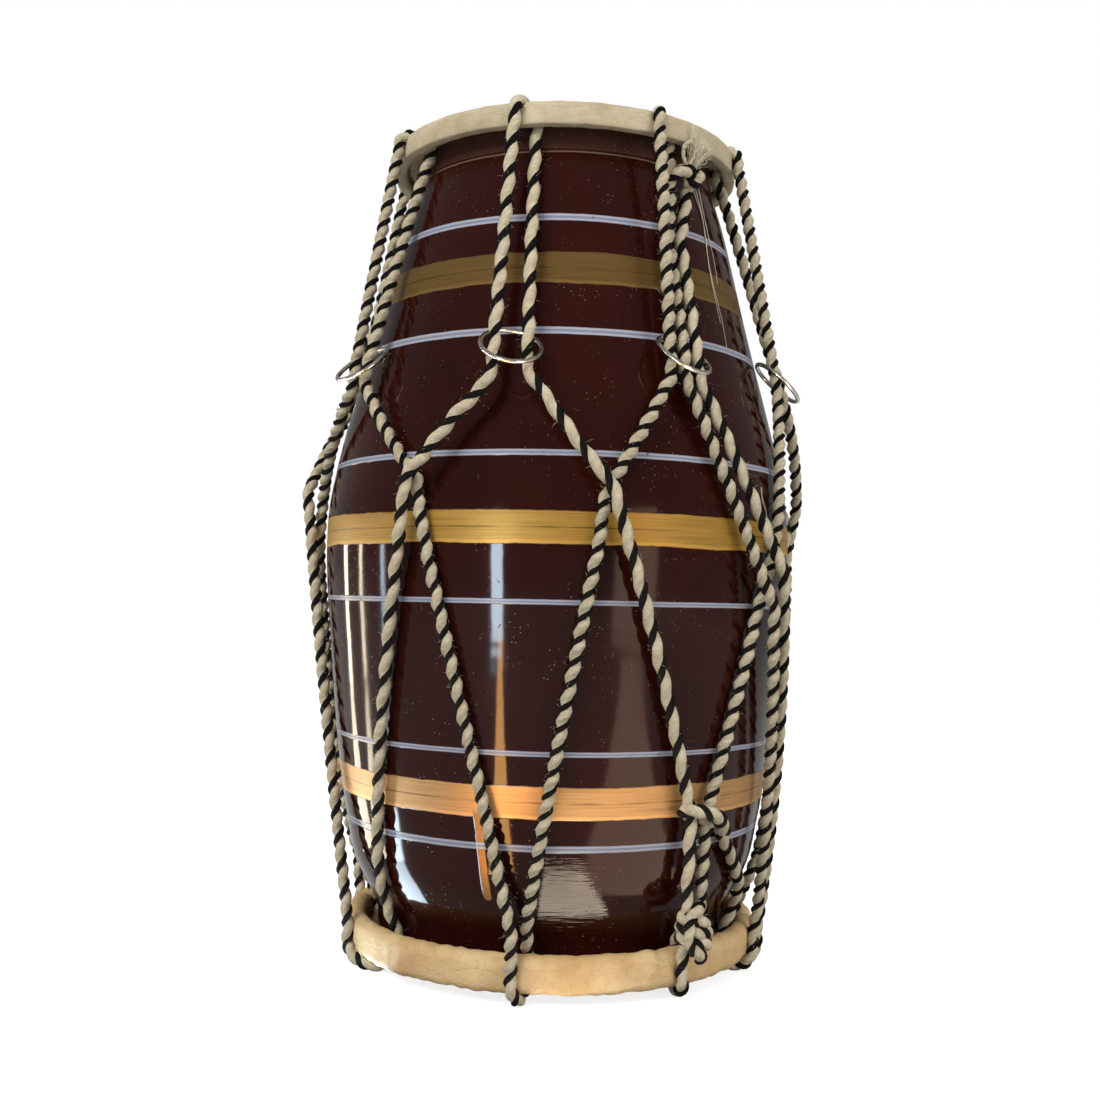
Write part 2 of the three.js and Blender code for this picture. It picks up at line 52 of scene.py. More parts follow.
bl_info = {
    "name": "Dholak",
    "version": (1, 0, 0),
    "blender": (4, 5, 0),
    "location": "3D View > Sidebar > Dholak",
    "description": "Builds a roped barrel drum with lapped hides and tension rings",
    "category": "Add Mesh",
}

MM = 0.001
FULL_TURN = 360

# The drum's build, as its solids have it
HOOP_SPAN = 430
BELLY_RADIUS = 127.2
BELLY_HEIGHT = 216
TREBLE_MOUTH_RADIUS = 80.5
TREBLE_MOUTH_RISE = 1
BASS_MOUTH_RADIUS = 95.4
BASS_MOUTH_RISE = 0.8
SHELL_WALL = 12
MOUTH_ROUNDING = 3
CLEARANCE = 0.3
ROPE_RADIUS = 3.6
ROPE_REACH = ROPE_RADIUS + CLEARANCE
ROPE_FLAT = 0.72
LACING_EASE = 0.5
CROSSING_GAP = 1.9
RING_HEIGHT = 0.712 * HOOP_SPAN
RING_TRAVEL = 0.4 * (HOOP_SPAN - RING_HEIGHT)
RING_RADIUS = 14.4
RING_WIRE = 2.2
RING_TILT = math.radians(35)
RING_EASE = 1.5
RING_PAIR_HALF_GAP = RING_RADIUS - RING_WIRE / 2 - ROPE_REACH - RING_EASE
RING_SPREAD = 0.75 * RING_RADIUS

# The camera, fitted to the photograph in pixels of an image 1100 wide and high
IMAGE_PIXELS = 1100
SENSOR = 36
FOCAL_PIXELS = 1250
AXIS_PIXEL = 556
HORIZON_PIXEL = 600
CAMERA_DISTANCE = 702
CAMERA_HEIGHT = 188
CAMERA_ROLL = math.radians(1.2)
CAMERA_CLIP = 10

# The stage, in metres and watts. The soft lamps light the drum and aren't mirrored in its lacquer.
FLOOR_HALF = 20
FLOOR_GLOW = 0.8
FLOOR_TONE = 0.45
STUDIO_LEVEL = 0.5
GLOSS_BACKDROP = 0.25
GLOSS_STUDIO = 0.3
LAMP_AIM = Vector((0, 0, 0.22))
SOFT_LAMPS = (
    ("key_lamp", (-0.9, -1.3, 1.3), (0.9, 0.9), 24),
    ("fill_lamp", (1.4, -1.0, 0.7), (0.8, 1.2), 12),
    ("back_lamp", (0.3, 1.6, 1.2), (1.2, 0.8), 12),
)

# Bright panes that are only mirrored, with their turn about +Z where they lie on the floor
BLUE_LIGHT = (0.72, 0.86, 1)
CREAM_LIGHT = (1, 0.86, 0.66)
AMBER_LIGHT = (1, 0.5, 0.16)
ROOM_LIGHT = (1, 0.7, 0.5)
PANES = (
    ("tall_pane", (-0.42, -0.85, 0.2), (0.085, 0.38), 5.5, BLUE_LIGHT, None),
    ("tall_pane_floor", (-0.24, -0.54, 0.004), (0.035, 0.8), 3.2, AMBER_LIGHT, -26),
    ("side_pane_1", (-1.05, -0.06, 0.16), (0.05, 0.32), 1.1, BLUE_LIGHT, None),
    ("side_pane_2", (-1.06, 0.26, 0.16), (0.05, 0.32), 1.2, CREAM_LIGHT, None),
    ("side_pane_3", (-1.0, 0.55, 0.16), (0.07, 0.32), 1.5, CREAM_LIGHT, None),
    ("side_floor_1", (-0.53, -0.062, 0.004), (0.02, 0.68), 0.8, BLUE_LIGHT, -91),
    ("side_floor_2", (-0.57, 0.1, 0.004), (0.04, 0.78), 1.8, CREAM_LIGHT, -107),
    ("side_floor_3", (-0.6, 0.29, 0.004), (0.06, 0.9), 2.2, CREAM_LIGHT, -123),
    ("near_floor_1", (-0.19, -0.06, 0.004), (0.03, 0.22), 0.5, BLUE_LIGHT, -90),
    ("near_floor_2", (0.018, -0.16, 0.004), (0.055, 0.1), 0.32, CREAM_LIGHT, 0),
    ("room_pane", (0.6, -0.86, 0.22), (0.36, 0.44), 2.4, ROOM_LIGHT, None),
    ("room_floor", (0.3, -0.44, 0.004), (0.15, 0.78), 1.7, ROOM_LIGHT, 35),
)

# The ropes: their fineness, a direction askew of their starts, and the pitch of the twist in each pair's
# left and right strand
ROPE_STEP = 0.95
STATION_MERGE = 0.05
ROPE_ASKEW = (0.3, 0.2, 0.9)
CREAM_SIDES = 9
BLACK_SIDES = 5
ROPE_SWELL_RATE = 0.11
PITCHES = ((11, 11), (16.5, 18.5), (10.5, 11), (10.5, 13), (12, 15), (14, 12), (16, 13), (12, 14))
START_PITCH = 16
TURN_PITCH = 13
TURN_STEPS = 10
TURN_PRESS = 0.84
LACING_GIRTH = 0.93
WOUND_STEPS = 12
WOUND_BACK = 0.3

# The barrel, the hides and the rings
MELD = 0.001
BARREL_STEPS = 240
OUTLINE_SPACING = 2.5
ROUNDING_STEPS = 4
COLLAR_LEVEL = 411.5
COLLAR_WIDTH = 0.9
COLLAR_DEPTH = 0.8
HEAD_STEPS = 360
LAP_STEPS = 12
LAP_SLIT = 0.8
MEMBRANE_STEPS = 8
ROLL_DROP_SHARE = 0.8
FOLD_RISE = 60
DENT_RATE = 260
RING_WIRE_SIDES = 16
RING_STEPS = 96

# Fibres that stand out of the ropes, the tuft at the treble knot, and strings as their lowest and highest
# level, their angles at top and bottom, and their lift off the lacquer
THREAD_TIP = 0.35
THREAD_ASKEW = (0.31, 0.22, 0.93)
FLOOR_LIFT = 0.2
FIBRE_SEED = 7
FIBRE_POINTS = 4
FIBRE_OUTWARD = (0.3, 1)
FIBRE_ALONG = (-1, 1)
FIBRE_BEND = 0.45
FIBRE_LENGTHS = (0.7, 2.2)
FIBRE_RADII = (0.04, 0.08)
FIBRE_ROOT = 0.85
TUFT_THREADS = 130
TUFT_POINTS = 14
TUFT_STEP = 0.5
TUFT_ROOTS = ((1, 6), (3, 7), (4, 7))
TUFT_SPREAD = (3, 21)
TUFT_TOP = 27
TUFT_SLOPE = 0.6
TUFT_RAGGED = 2
TUFT_DEPTH = 1.6
TUFT_SWAY = 1.5
TUFT_RISING = 0.3
TUFT_BULGE = (0, 0, 0.8)
TUFT_BACK = 0.7
TUFT_LIFT = 1
TUFT_RADII = (0.09, 0.24)
STRING_POINTS = 40
STRING_SWAY = 0.35
STRING_WAVES = 3
STRING_RADIUS = 0.42
STRINGS = (
    (318, 404, (52.3, 50.9), 0.7), (330, 402, (50.4, 50.2), 0.7), (352, 404, (54.3, 53), 0.9),
    (218, 247, (54.6, 56), 0.8),
)

# Paint, by height above the bass hoop: gold bands from the top, pale lines as (middle, width), and the run
# of gold under the lowest band. Painted edges wander and are ragged by so much.
GOLD_BANDS = ((340.7, 356.5), (214, 229.3), (84.8, 100.5))
GOLD_EDGE = 1.6
GOLD_WANDER = (2.2, 0.9)
GROOVE_HALF = 0.3
LINES = ((374.9, 3.5), (316.4, 3.5), (256.6, 2.8), (187, 2.3), (116, 2.3), (70.5, 3.2))
LINE_WANDER = (0.7, 0.25)
RUN_LOW = 43
RUN_HIGH = 86
RUN_HALF = 2.1
RUN_RADIUS = 111
RUN_ANGLES = (math.radians(-16.3), math.radians(-17.8))

# Where the lathe's fine ridges show through the lacquer, near the foot, and the painted highlight along the
# ridge under the collar
RIDGED_ANGLE = math.radians(3)
RIDGED_HALF = math.radians(16)
RIDGED_TOP = (55, 75)
COLLAR_RIDGE_HIGHLIGHT = (COLLAR_LEVEL - 1.3, COLLAR_LEVEL - 0.5)


class Roll:
    """A hoop with hide lapped round it, and the rope that bites into the hide as it goes over."""

    def __init__(self, mouth_radius, hoop, hide, membrane, bite, squareness=1, rise=0):
        self.mouth_radius, self.hide, self.membrane, self.bite = mouth_radius, hide, membrane, bite
        self.half_width, self.half_height = (size / 2 + CLEARANCE + hide for size in hoop)
        self.rope_offset = self.half_width + ROPE_REACH - bite
        self.radius = mouth_radius + ROPE_REACH + self.rope_offset
        self.straight = self.half_height - self.half_width
        self.squareness, self.rise = squareness, rise


treble = Roll(TREBLE_MOUTH_RADIUS, hoop=(3, 7.3), hide=1.8, membrane=1.2, bite=1, squareness=0.5, rise=1.5)
bass = Roll(BASS_MOUTH_RADIUS, hoop=(5.9, 14.4), hide=2, membrane=1.5, bite=1.2)
BASE = ROPE_REACH - bass.bite + ROPE_RADIUS - ROPE_FLAT
bass.height = BASE + bass.half_height
treble.height = BASE + HOOP_SPAN - treble.half_height
BASS_MOUTH = BASE + BASS_MOUTH_RISE
TREBLE_MOUTH = BASE + HOOP_SPAN + TREBLE_MOUTH_RISE
BELLY = BASE + BELLY_HEIGHT

# The barrel's outline from each mouth, as shares of the way to the belly: of its height and of its radius
BASS_OUTLINE_SHARES = (
    (0, 0), (0.05, 0), (0.09, 0.02), (0.13, 0.13), (0.17, 0.27), (0.22, 0.42), (0.33, 0.58), (0.53, 0.77),
    (0.74, 0.9), (0.92, 0.985),
)
TREBLE_OUTLINE_SHARES = (
    (1, 1), (0.91, 0.98), (0.81, 0.9), (0.656, 0.728), (0.535, 0.578), (0.4, 0.418), (0.26, 0.261),
    (0.19, 0.178), (0.144, 0.114), (0.09, 0.036), (0.05, 0), (0, 0),
)
OUTLINE = [
    (mouth_radius + (BELLY_RADIUS - mouth_radius) * swell, mouth + (BELLY - mouth) * rise)
    for mouth, mouth_radius, shares in (
        (BASS_MOUTH, BASS_MOUTH_RADIUS, BASS_OUTLINE_SHARES),
        (TREBLE_MOUTH, TREBLE_MOUTH_RADIUS, TREBLE_OUTLINE_SHARES),
    )
    for rise, swell in shares
]


def radius_on(chain, height):
    """Radius along a chain of (radius, height) points that climbs."""
    return float(np.interp(height, [h for _, h in chain], [r for r, _ in chain]))


def offset_outline(distance):
    """The barrel's outline moved outwards, square to itself."""
    moved = []
    for k, (radius, height) in enumerate(OUTLINE):
        before, after = OUTLINE[max(k - 1, 0)], OUTLINE[min(k + 1, len(OUTLINE) - 1)]
        along = Vector((after[0] - before[0], after[1] - before[1])).normalized()
        moved.append((radius + along.y * distance, height - along.x * distance))
    return moved


def around(angle, radius, height):
    """A point at an angle in degrees from the front, positive to the right."""
    a = math.radians(angle)
    return Vector((radius * math.sin(a), -radius * math.cos(a), height))


def angle_of(point):
    return math.degrees(math.atan2(point.x, -point.y))


def arc(x, y, radius, start, end, steps):
    """Points of an arc from one angle to another, in degrees."""
    return [
        (x + radius * math.cos(a), y + radius * math.sin(a))
        for a in np.radians(np.linspace(start, end, steps + 1))
    ]


# Lacing points of each pair, as angles in degrees going round to the right from the left of the front.
# A crossing is crossed on top by a left strand, -1, or a right one, 1.
TOPS = (-60.5, -12.6, 33, 75, 121, 166, 211, 256)
RING_ANGLES = (-57.5, -11.3, 28.8, 73, 121, 166, 211, 256)
FEET = (-59, -7.6, 36.5, 78.5, 123, 168, 213, 258)
TOP_HALF_GAPS = (4.2, 2.5, 5, 3, 3.2, 3, 3.2, 3)
FOOT_HALF_GAPS = (8, 1.5, 2.5, 1.8, 3, 2.5, 3, 3.5)
CROSSING_ANGLES = (-31.5, 10, 50, 97.5, 143.5, 188.5, 233.5, 277)
CROSSING_SHARES = (0.567, 0.558, 0.433, 0.563, 0.567, 0.56, 0.565, 0.565)
CROSSED_BY = (-1, 1, 1, 1, -1, 1, -1, 1)
PAIRS = len(TOPS)
BASS_SEAM = 2 * bass.half_height + 2 * ROPE_RADIUS
SEAM_REACH = 4
CROSSING_REACHES = (-26, -12, 12, 26)
STATION_GAP = 7.2
STRAIGHT_END = 9
TREBLE_SEAM = treble.height - treble.half_height / 2 - BASE
BASS_LEG = bass.height + bass.straight
RING_RISE = RING_RADIUS * math.sin(RING_TILT) + RING_WIRE + CLEARANCE
RING_STRAND_RADIUS = radius_on(OUTLINE, BASE + RING_HEIGHT) + RING_RISE
REST_LINE = offset_outline(ROPE_REACH + LACING_EASE)


def on_turn(angles, k):
    """A pair's angle, a whole turn on or back for pairs counted past the last or the first."""
    return angles[k % PAIRS] + k // PAIRS * FULL_TURN


def taut_line(low, high, lifts):
    """The outermost line over the barrel and whatever lifts the strand."""
    between = [p for p in [*REST_LINE, *lifts] if low[1] < p[1] < high[1]]
    chain = []
    for p in [low, *sorted(between, key=lambda q: q[1]), high]:
        while len(chain) > 1:
            a, b = chain[-2:]
            if (b[0] - a[0]) * (p[1] - a[1]) > (p[0] - a[0]) * (b[1] - a[1]):
                break
            chain.pop()
        chain.append(p)
    return chain


def strand(k, side, *, foot=None, foot_outside=None, via=None, crossing=None, ring_offset=None,
           above_ring=None, top=None):
    """One strand from the bass hoop up to the treble hoop: side is -1 for a pair's left, 1 for its right."""
    cross = k if side > 0 else k - 1
    cross_angle, cross_share = crossing or (on_turn(CROSSING_ANGLES, cross), CROSSING_SHARES[cross % PAIRS])
    cross_level = cross_share * HOOP_SPAN
    if foot_outside is None:
        foot_outside = side > 0
    if foot is None:
        foot = on_turn(FEET, k + side) - side * FOOT_HALF_GAPS[(k + side) % PAIRS]
    foot_radius = bass.radius + (1 if foot_outside else -1) * bass.rope_offset
    top_radius = treble.radius - side * treble.rope_offset
    if ring_offset is None:
        ring_offset = side * RING_PAIR_HALF_GAP
    ring_angle = on_turn(RING_ANGLES, k) + math.degrees(ring_offset / RING_STRAND_RADIUS)
    roll_level = treble.height - BASE if side < 0 else TREBLE_SEAM
    top_angle, top_level = top or (on_turn(TOPS, k) + side * TOP_HALF_GAPS[k % PAIRS], roll_level)

    lifts = [(RING_STRAND_RADIUS, BASE + RING_HEIGHT)]
    lies_on_top = CROSSED_BY[cross % PAIRS] == side
    if lies_on_top:
        pile = ROPE_REACH + 2 * ROPE_RADIUS + CROSSING_GAP
        lifts.append((radius_on(OUTLINE, BASE + cross_level) + pile, BASE + cross_level))
    chain = taut_line((foot_radius, BASS_LEG), (top_radius, BASE + roll_level), lifts)
    route = [
        (foot, BASS_LEG - BASE),
        *(via or [(foot, BASS_SEAM + SEAM_REACH)]),
        (cross_angle, cross_level),
        (ring_angle, RING_HEIGHT - RING_SPREAD),
        (ring_angle, RING_HEIGHT),
        *([(above_ring, RING_HEIGHT + RING_TRAVEL + RING_SPREAD)] if above_ring else []),
        (top_angle, top_level),
    ]
    fixed = [level for _, level in route] + [BASS_SEAM - SEAM_REACH, BASS_SEAM]
    if lies_on_top:
        fixed += [cross_level + reach for reach in CROSSING_REACHES]
    bends = [
        height - BASE for _, height in chain
        if height - BASE < top_level and all(abs(level - height + BASE) > STATION_GAP for level in fixed)
    ]
    levels = sorted(fixed + bends)
    taut = [
        level for low, high in zip(levels, levels[1:]) if high - low > 3 * STRAIGHT_END
        for level in (low + STRAIGHT_END, high - STRAIGHT_END)
    ]
    return [
        around(radius_on(route, level), radius_on(chain, BASE + level), BASE + level)
        for level in sorted(levels + taut)
    ]


def treble_turn(outer_angle, inner_angle):
    """The half turn over the treble roll, from a pair's left strand to its right one."""
    level = treble.height + treble.straight
    turn = []
    for step, (radius, rise) in enumerate(arc(treble.radius, 0, treble.rope_offset, 0, 180, TURN_STEPS)):
        angle = outer_angle + (inner_angle - outer_angle) * (step / TURN_STEPS) ** 2
        turn.append(around(angle, radius, level + rise * TURN_PRESS))
    return turn


def bass_turn(outer, inner):
    """The half turn under the bass roll, from the foot of one strand to that of the next."""
    start = angle_of(outer)
    apart = (angle_of(inner) - start + FULL_TURN / 2) % FULL_TURN - FULL_TURN / 2
    places = arc(bass.radius, bass.height - bass.straight, bass.rope_offset, 0, -180, TURN_STEPS)
    return [around(start + apart * step / TURN_STEPS, r, h) for step, (r, h) in enumerate(places)]


KNOT_STRAND_ANGLES = (34, 38.3)
WRAP_STRAND_ANGLES = (32.7, 37.8)
WRAP_LEVEL = 0.198 * HOOP_SPAN
RETURN_FOOT = (69, 65.5)
ABOVE_RING = (30, 34.2)
START_TOP = (41.5, 0.921 * HOOP_SPAN)
START_CROSSING = (53.3, 0.472)
lefts = [strand(k, -1) for k in range(PAIRS)]
rights = [strand(k, 1) for k in range(PAIRS)]
knot_ways = [
    [(angle, BASS_SEAM + SEAM_REACH), (wrapped, WRAP_LEVEL)]
    for angle, wrapped in zip(KNOT_STRAND_ANGLES, WRAP_STRAND_ANGLES)
]
rights[1] = strand(1, 1, foot=KNOT_STRAND_ANGLES[0], via=knot_ways[0])
rights[2] = strand(2, 1, ring_offset=0, foot=RETURN_FOOT[0], above_ring=ABOVE_RING[0])
lefts[3] = strand(3, -1, foot=KNOT_STRAND_ANGLES[1], foot_outside=True, via=knot_ways[1])
start_strand = strand(2, 1, crossing=START_CROSSING, above_ring=ABOVE_RING[1], top=START_TOP)


def inner_leg(angle):
    """The foot of a strand on the inner side of the bass roll, moved round to this angle."""
    return [around(angle, math.hypot(p.x, p.y), p.z) for p in lefts[0][:3]]


# The rope's tail, from the bass seam to the wrap: angles, and shares of the way up
TAIL_ROUTE = (
    (65.5, 0), (65.3, 0.063), (63, 0.2), (59, 0.336), (54.5, 0.472), (50, 0.625), (46.5, 0.744), (44, 0.847),
)
tail_line = taut_line(
    (bass.radius - bass.rope_offset, BASS_LEG),
    (radius_on(OUTLINE, BASE + WRAP_LEVEL) + ROPE_REACH + LACING_EASE, BASE + WRAP_LEVEL), [],
)
tail_heights = [(angle, BASE + BASS_SEAM + (WRAP_LEVEL - BASS_SEAM) * share) for angle, share in TAIL_ROUTE]
tail = [around(angle, radius_on(tail_line, height), height) for angle, height in tail_heights]


class Wire:
    """A node's output that takes Python arithmetic, one Math node for each sign."""

    def __init__(self, finish, socket):
        self.finish, self.socket = finish, socket

    def math(self, operation, *values, clamp=False):
        settings = {"operation": operation, "use_clamp": clamp}
        return self.finish.node("ShaderNodeMath", settings, dict(enumerate(values)))

    def __add__(self, other):
        return self.math("ADD", self, other)

    def __radd__(self, other):
        return self.math("ADD", other, self)

    def __sub__(self, other):
        return self.math("SUBTRACT", self, other)

    def __rsub__(self, other):
        return self.math("SUBTRACT", other, self)

    def __mul__(self, other):
        return self.math("MULTIPLY", self, other)

    def __rmul__(self, other):
        return self.math("MULTIPLY", other, self)

    def __truediv__(self, other):
        return self.math("DIVIDE", self, other)

    def __abs__(self):
        return self.math("ABSOLUTE", self)

    def clamped(self):
        return self.math("ADD", self, 0, clamp=True)

    def larger(self, other):
        return self.math("MAXIMUM", self, other)

    def level(self, low, high):
        """0 below low, 1 above high and even between."""
        return ((self - low) / (high - low)).clamped()

    def fade(self, low, high):
        """1 below low, 0 above high and even between."""
        return 1 - self.level(low, high)

    def stripe(self, low, high, blur):
        """1 from low to high and 0 outside, with soft edges."""
        return self.level(low - blur, low + blur) * self.fade(high - blur, high + blur)


class Finish:
    """A material and the nodes that make it."""

    def __init__(self, name):
        self.material = bpy.data.materials.new(name)
        self.material.use_nodes = True
        self.tree = self.material.node_tree
        self.shader = self.tree.nodes["Principled BSDF"]

    def node(self, kind, settings=None, inputs=None, output=0):
        """A node of this kind with its settings, then its sockets' values or links; one output as a wire."""
        made = self.tree.nodes.new(kind)
        for key, value in (settings or {}).items():
            setattr(made, key, value)
        for key, value in (inputs or {}).items():
            self.join(made.inputs[key], value)
        return Wire(self, made.outputs[output])

    def join(self, socket, value):
        if isinstance(value, Wire):
            self.tree.links.new(value.socket, socket)
        else:
            socket.default_value = (*value, 1) if socket.type == "RGBA" else value

    def set(self, **inputs):
        for key, value in inputs.items():
            self.join(self.shader.inputs[key.replace("_", " ")], value)

    def place(self):
        return self.node("ShaderNodeTexCoord", output="Object")

    def axes(self, vector):
        split = self.node("ShaderNodeSeparateXYZ", inputs={0: vector})
        return [Wire(self, socket) for socket in split.socket.node.outputs]

    def vector(self, x, y, z):
        return self.node("ShaderNodeCombineXYZ", inputs={0: x, 1: y, 2: z})

    def stretched(self, vector, scale):
        return self.node("ShaderNodeVectorMath", {"operation": "MULTIPLY"}, {0: vector, 1: scale})

    def noise(self, vector, scale, detail=4, roughness=0.55):
        inputs = {"Vector": vector, "Scale": scale, "Detail": detail, "Roughness": roughness}
        return self.node("ShaderNodeTexNoise", inputs=inputs)

    def spots(self, vector, scale, reach):
        """1 in the middle of scattered spots and 0 outside their reach, a share of their spacing."""
        distance = self.node("ShaderNodeTexVoronoi", inputs={"Vector": vector, "Scale": scale})
        return (1 - distance / reach).clamped()

    def mix(self, share, first, second):
        settings = {"data_type": "RGBA"}
        return self.node("ShaderNodeMix", settings, {0: share, 6: first, 7: second}, output=2)

    def bump(self, height, distance, strength=1.0):
        inputs = {"Height": height, "Distance": distance, "Strength": strength}
        self.set(Normal=self.node("ShaderNodeBump", inputs=inputs))


def colour(*parts):
    """A colour written as it looks on a screen, 0 to 255 each of red, green and blue, for a socket."""
    shares = [part / 255 for part in parts]
    return [share / 12.92 if share <= 0.04045 else ((share + 0.055) / 1.055) ** 2.4 for share in shares]


def placed(name, data):
    """A new object in the scene."""
    made = bpy.data.objects.new(name, data)
    bpy.context.scene.collection.objects.link(made)
    return made


def add_piece(name, mesh, finishes, body, nodes=()):
    """A finished piece that rides on its body and stands for its solids."""
    for finish in finishes:
        mesh.materials.append(finish)
    mesh.shade_smooth()
    piece = placed(name, mesh)
    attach(piece, body)
    if nodes:
        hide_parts(*nodes)


def spin(bm, steps):
    """Turns a section once round the Z axis and closes it."""
    bmesh.ops.spin(
        bm, geom=bm.verts[:] + bm.edges[:], axis=(0, 0, 1), cent=(0, 0, 0), angle=math.tau, steps=steps,
        use_merge=True,
    )
    bmesh.ops.remove_doubles(bm, verts=bm.verts, dist=MELD * MM)
    bmesh.ops.recalc_face_normals(bm, faces=bm.faces)


def drawn(bm, name):
    """The mesh of a finished drawing."""
    mesh = bpy.data.meshes.new(name)
    bm.to_mesh(mesh)
    bm.free()
    return mesh


def faced(name, points, faces):
    """A mesh of these faces over points in millimetres."""
    mesh = bpy.data.meshes.new(name)
    mesh.from_pydata((points.reshape(-1, 3) * MM).tolist(), [], faces)
    return mesh


def turned(name, profile, steps):
    """A closed body turned round the drum's axis from a profile of (radius, height)."""
    bm = bmesh.new()
    corners = [bm.verts.new((radius * MM, 0, height * MM)) for radius, height in profile]
    for pair in zip(corners, corners[1:]):
        bm.edges.new(pair)
    if profile[0][0] > 0:
        bm.edges.new((corners[-1], corners[0]))
    spin(bm, steps)
    return drawn(bm, name)


def gaps(rows):
    """Distances between neighbouring places."""
    return np.linalg.norm(np.diff(rows[:, :3], axis=0), axis=1)


def unit(rows):
    """Rows made 1 long."""
    return rows / np.linalg.norm(rows, axis=-1, keepdims=True)


def rounded(stations, spacing):
    """Even stations along a smooth line through these. Each is a place, then what changes along the line."""
    points = np.array([tuple(p) for p in stations], float)
    points = points[np.r_[True, gaps(points) > STATION_MERGE]]
    padded = np.vstack([2 * points[0] - points[1], points, 2 * points[-1] - points[-2]])
    spans = gaps(padded)
    pieces = []
    for k in range(1, len(padded) - 2):
        a, b, c, d = padded[k - 1:k + 3]
        before, span, after = spans[k - 1:k + 2]
        out = ((b - a) / before * span + (c - b) / span * before) * span / (before + span)
        into = ((d - c) / after * span + (c - b) / span * after) * span / (after + span)
        t = np.linspace(0, 1, max(int(span / spacing * 2), 2), endpoint=False)[:, None]
        piece = (
            (2 * t**3 - 3 * t**2 + 1) * b + (t**3 - 2 * t**2 + t) * out
            + (-2 * t**3 + 3 * t**2) * c + (t**3 - t**2) * into
        )
        piece[:, 3:] = b[3:] + (c[3:] - b[3:]) * t
        pieces.append(piece)
    dense = np.vstack([*pieces, points[-1:]])
    run = np.r_[0, np.cumsum(gaps(dense))]
    even = np.linspace(0, run[-1], int(run[-1] / spacing) + 1)
    return np.column_stack([np.interp(even, run, column) for column in dense.T])


def frames_along(path):
    """Tangent, side and rise of a line at each point, turned as little as possible from one to the next."""
    tangent = unit(np.gradient(path, axis=0))
    side = np.empty_like(path)
    side[0] = unit(np.cross(tangent[0], ROPE_ASKEW))
    for k in range(1, len(path)):
        side[k] = unit(side[k - 1] - tangent[k] * side[k - 1].dot(tangent[k]))
    return tangent, side, np.cross(tangent, side)


def ply_section(sizes):
    """Outline of a fat cream ply and a thin black one laid together, as (x, y), the cream's sides first."""
    cream, black = sizes.cream_radius / MM, sizes.black_radius / MM
    cream_x, black_x = ROPE_RADIUS - cream, ROPE_RADIUS - black
    meet = (cream_x**2 - black_x**2 - cream**2 + black**2) / (2 * (cream_x + black_x))
    height = math.sqrt(black**2 - (meet + black_x) ** 2)
    cream_half = math.degrees(math.atan2(height, meet - cream_x))
    black_half = math.degrees(math.atan2(height, meet + black_x))
    return (
        arc(cream_x, 0, cream, -cream_half, cream_half, CREAM_SIDES)
        + arc(-black_x, 0, black, black_half, FULL_TURN - black_half, BLACK_SIDES)[1:-1]
    )


def rope_mesh(name, path, pitch, sizes, seed, girth):
    """A rope of two plies twisted together along a path. Its first finish is for the cream ply."""
    section = np.array(ply_section(sizes)) * girth
    sides = len(section)
    _, side, rise = frames_along(path)
    run = np.r_[0, np.cumsum(gaps(path))]
    turn = np.r_[0, np.cumsum(np.diff(run) * math.tau / pitch[1:])]
    swell = np.array([noise.noise((s * ROPE_SWELL_RATE, seed, 0)) for s in run])
    scale = 1 + sizes.unevenness * swell
    twist = np.outer(scale * np.exp(1j * turn), section @ (1, 1j))
    points = path[:, None] + twist.real[..., None] * side[:, None] + twist.imag[..., None] * rise[:, None]
    points[..., 2] = points[..., 2].clip(0)

    last = (len(path) - 1) * sides
    row, place = np.divmod(np.arange(last), sides)
    rows = np.stack([row, row, row + 1, row + 1], axis=-1)
    places = np.stack([place, place + 1, place + 1, place], axis=-1)
    faces = (rows * sides + places % sides).tolist()
    ends = [list(range(sides))[::-1], list(range(last, last + sides))]
    mesh = faced(name, points, faces + ends)
    mesh.polygons.foreach_set("material_index", np.r_[(place >= CREAM_SIDES).astype(int), 0, 0])
    uvs = np.vstack([np.stack([run[rows], places], axis=-1).reshape(-1, 2), np.zeros((2 * sides, 2))])
    mesh.uv_layers.new(name="UVMap").data.foreach_set("uv", uvs.ravel().astype(np.float32))
    return mesh


def laid(points, pitch):
    """The points with the pitch of the rope's twist there."""
    return [(*p, pitch) for p in points]


def rope_path(stations, spacing):
    """A smooth evenly spaced path and its pitch from stations of (x, y, z, pitch)."""
    smooth = rounded(stations, spacing)
    return smooth[:, :3], smooth[:, 3]


def thread_mesh(name, paths, radii):
    """Fine three-sided threads, all with as many points, that taper from radii at their roots."""
    count, points = paths.shape[:2]
    along = unit(paths[:, -1] - paths[:, 0])
    side = unit(np.cross(along, THREAD_ASKEW))
    rise = np.cross(along, side)
    taper = np.linspace(1, THREAD_TIP, points)
    turns = np.arange(3) * math.tau / 3
    ring = np.cos(turns)[:, None] * side[:, None] + np.sin(turns)[:, None] * rise[:, None]
    corners = paths[:, :, None] + ring[:, None] * (radii[:, None] * taper)[..., None, None]
    base = np.arange(points - 1)[:, None] * 3
    quads = np.stack([base + [0, 1, 2], base + [1, 2, 0], base + [4, 5, 3], base + [3, 4, 5]], axis=-1)
    step = np.arange(count)[:, None] * points * 3
    faces = (quads.reshape(1, -1, 4) + step[..., None]).reshape(-1, 4).tolist()
    ends = np.vstack([step + [2, 1, 0], step + (points - 1) * 3 + [0, 1, 2]]).tolist()
    return faced(name, corners, faces + ends)


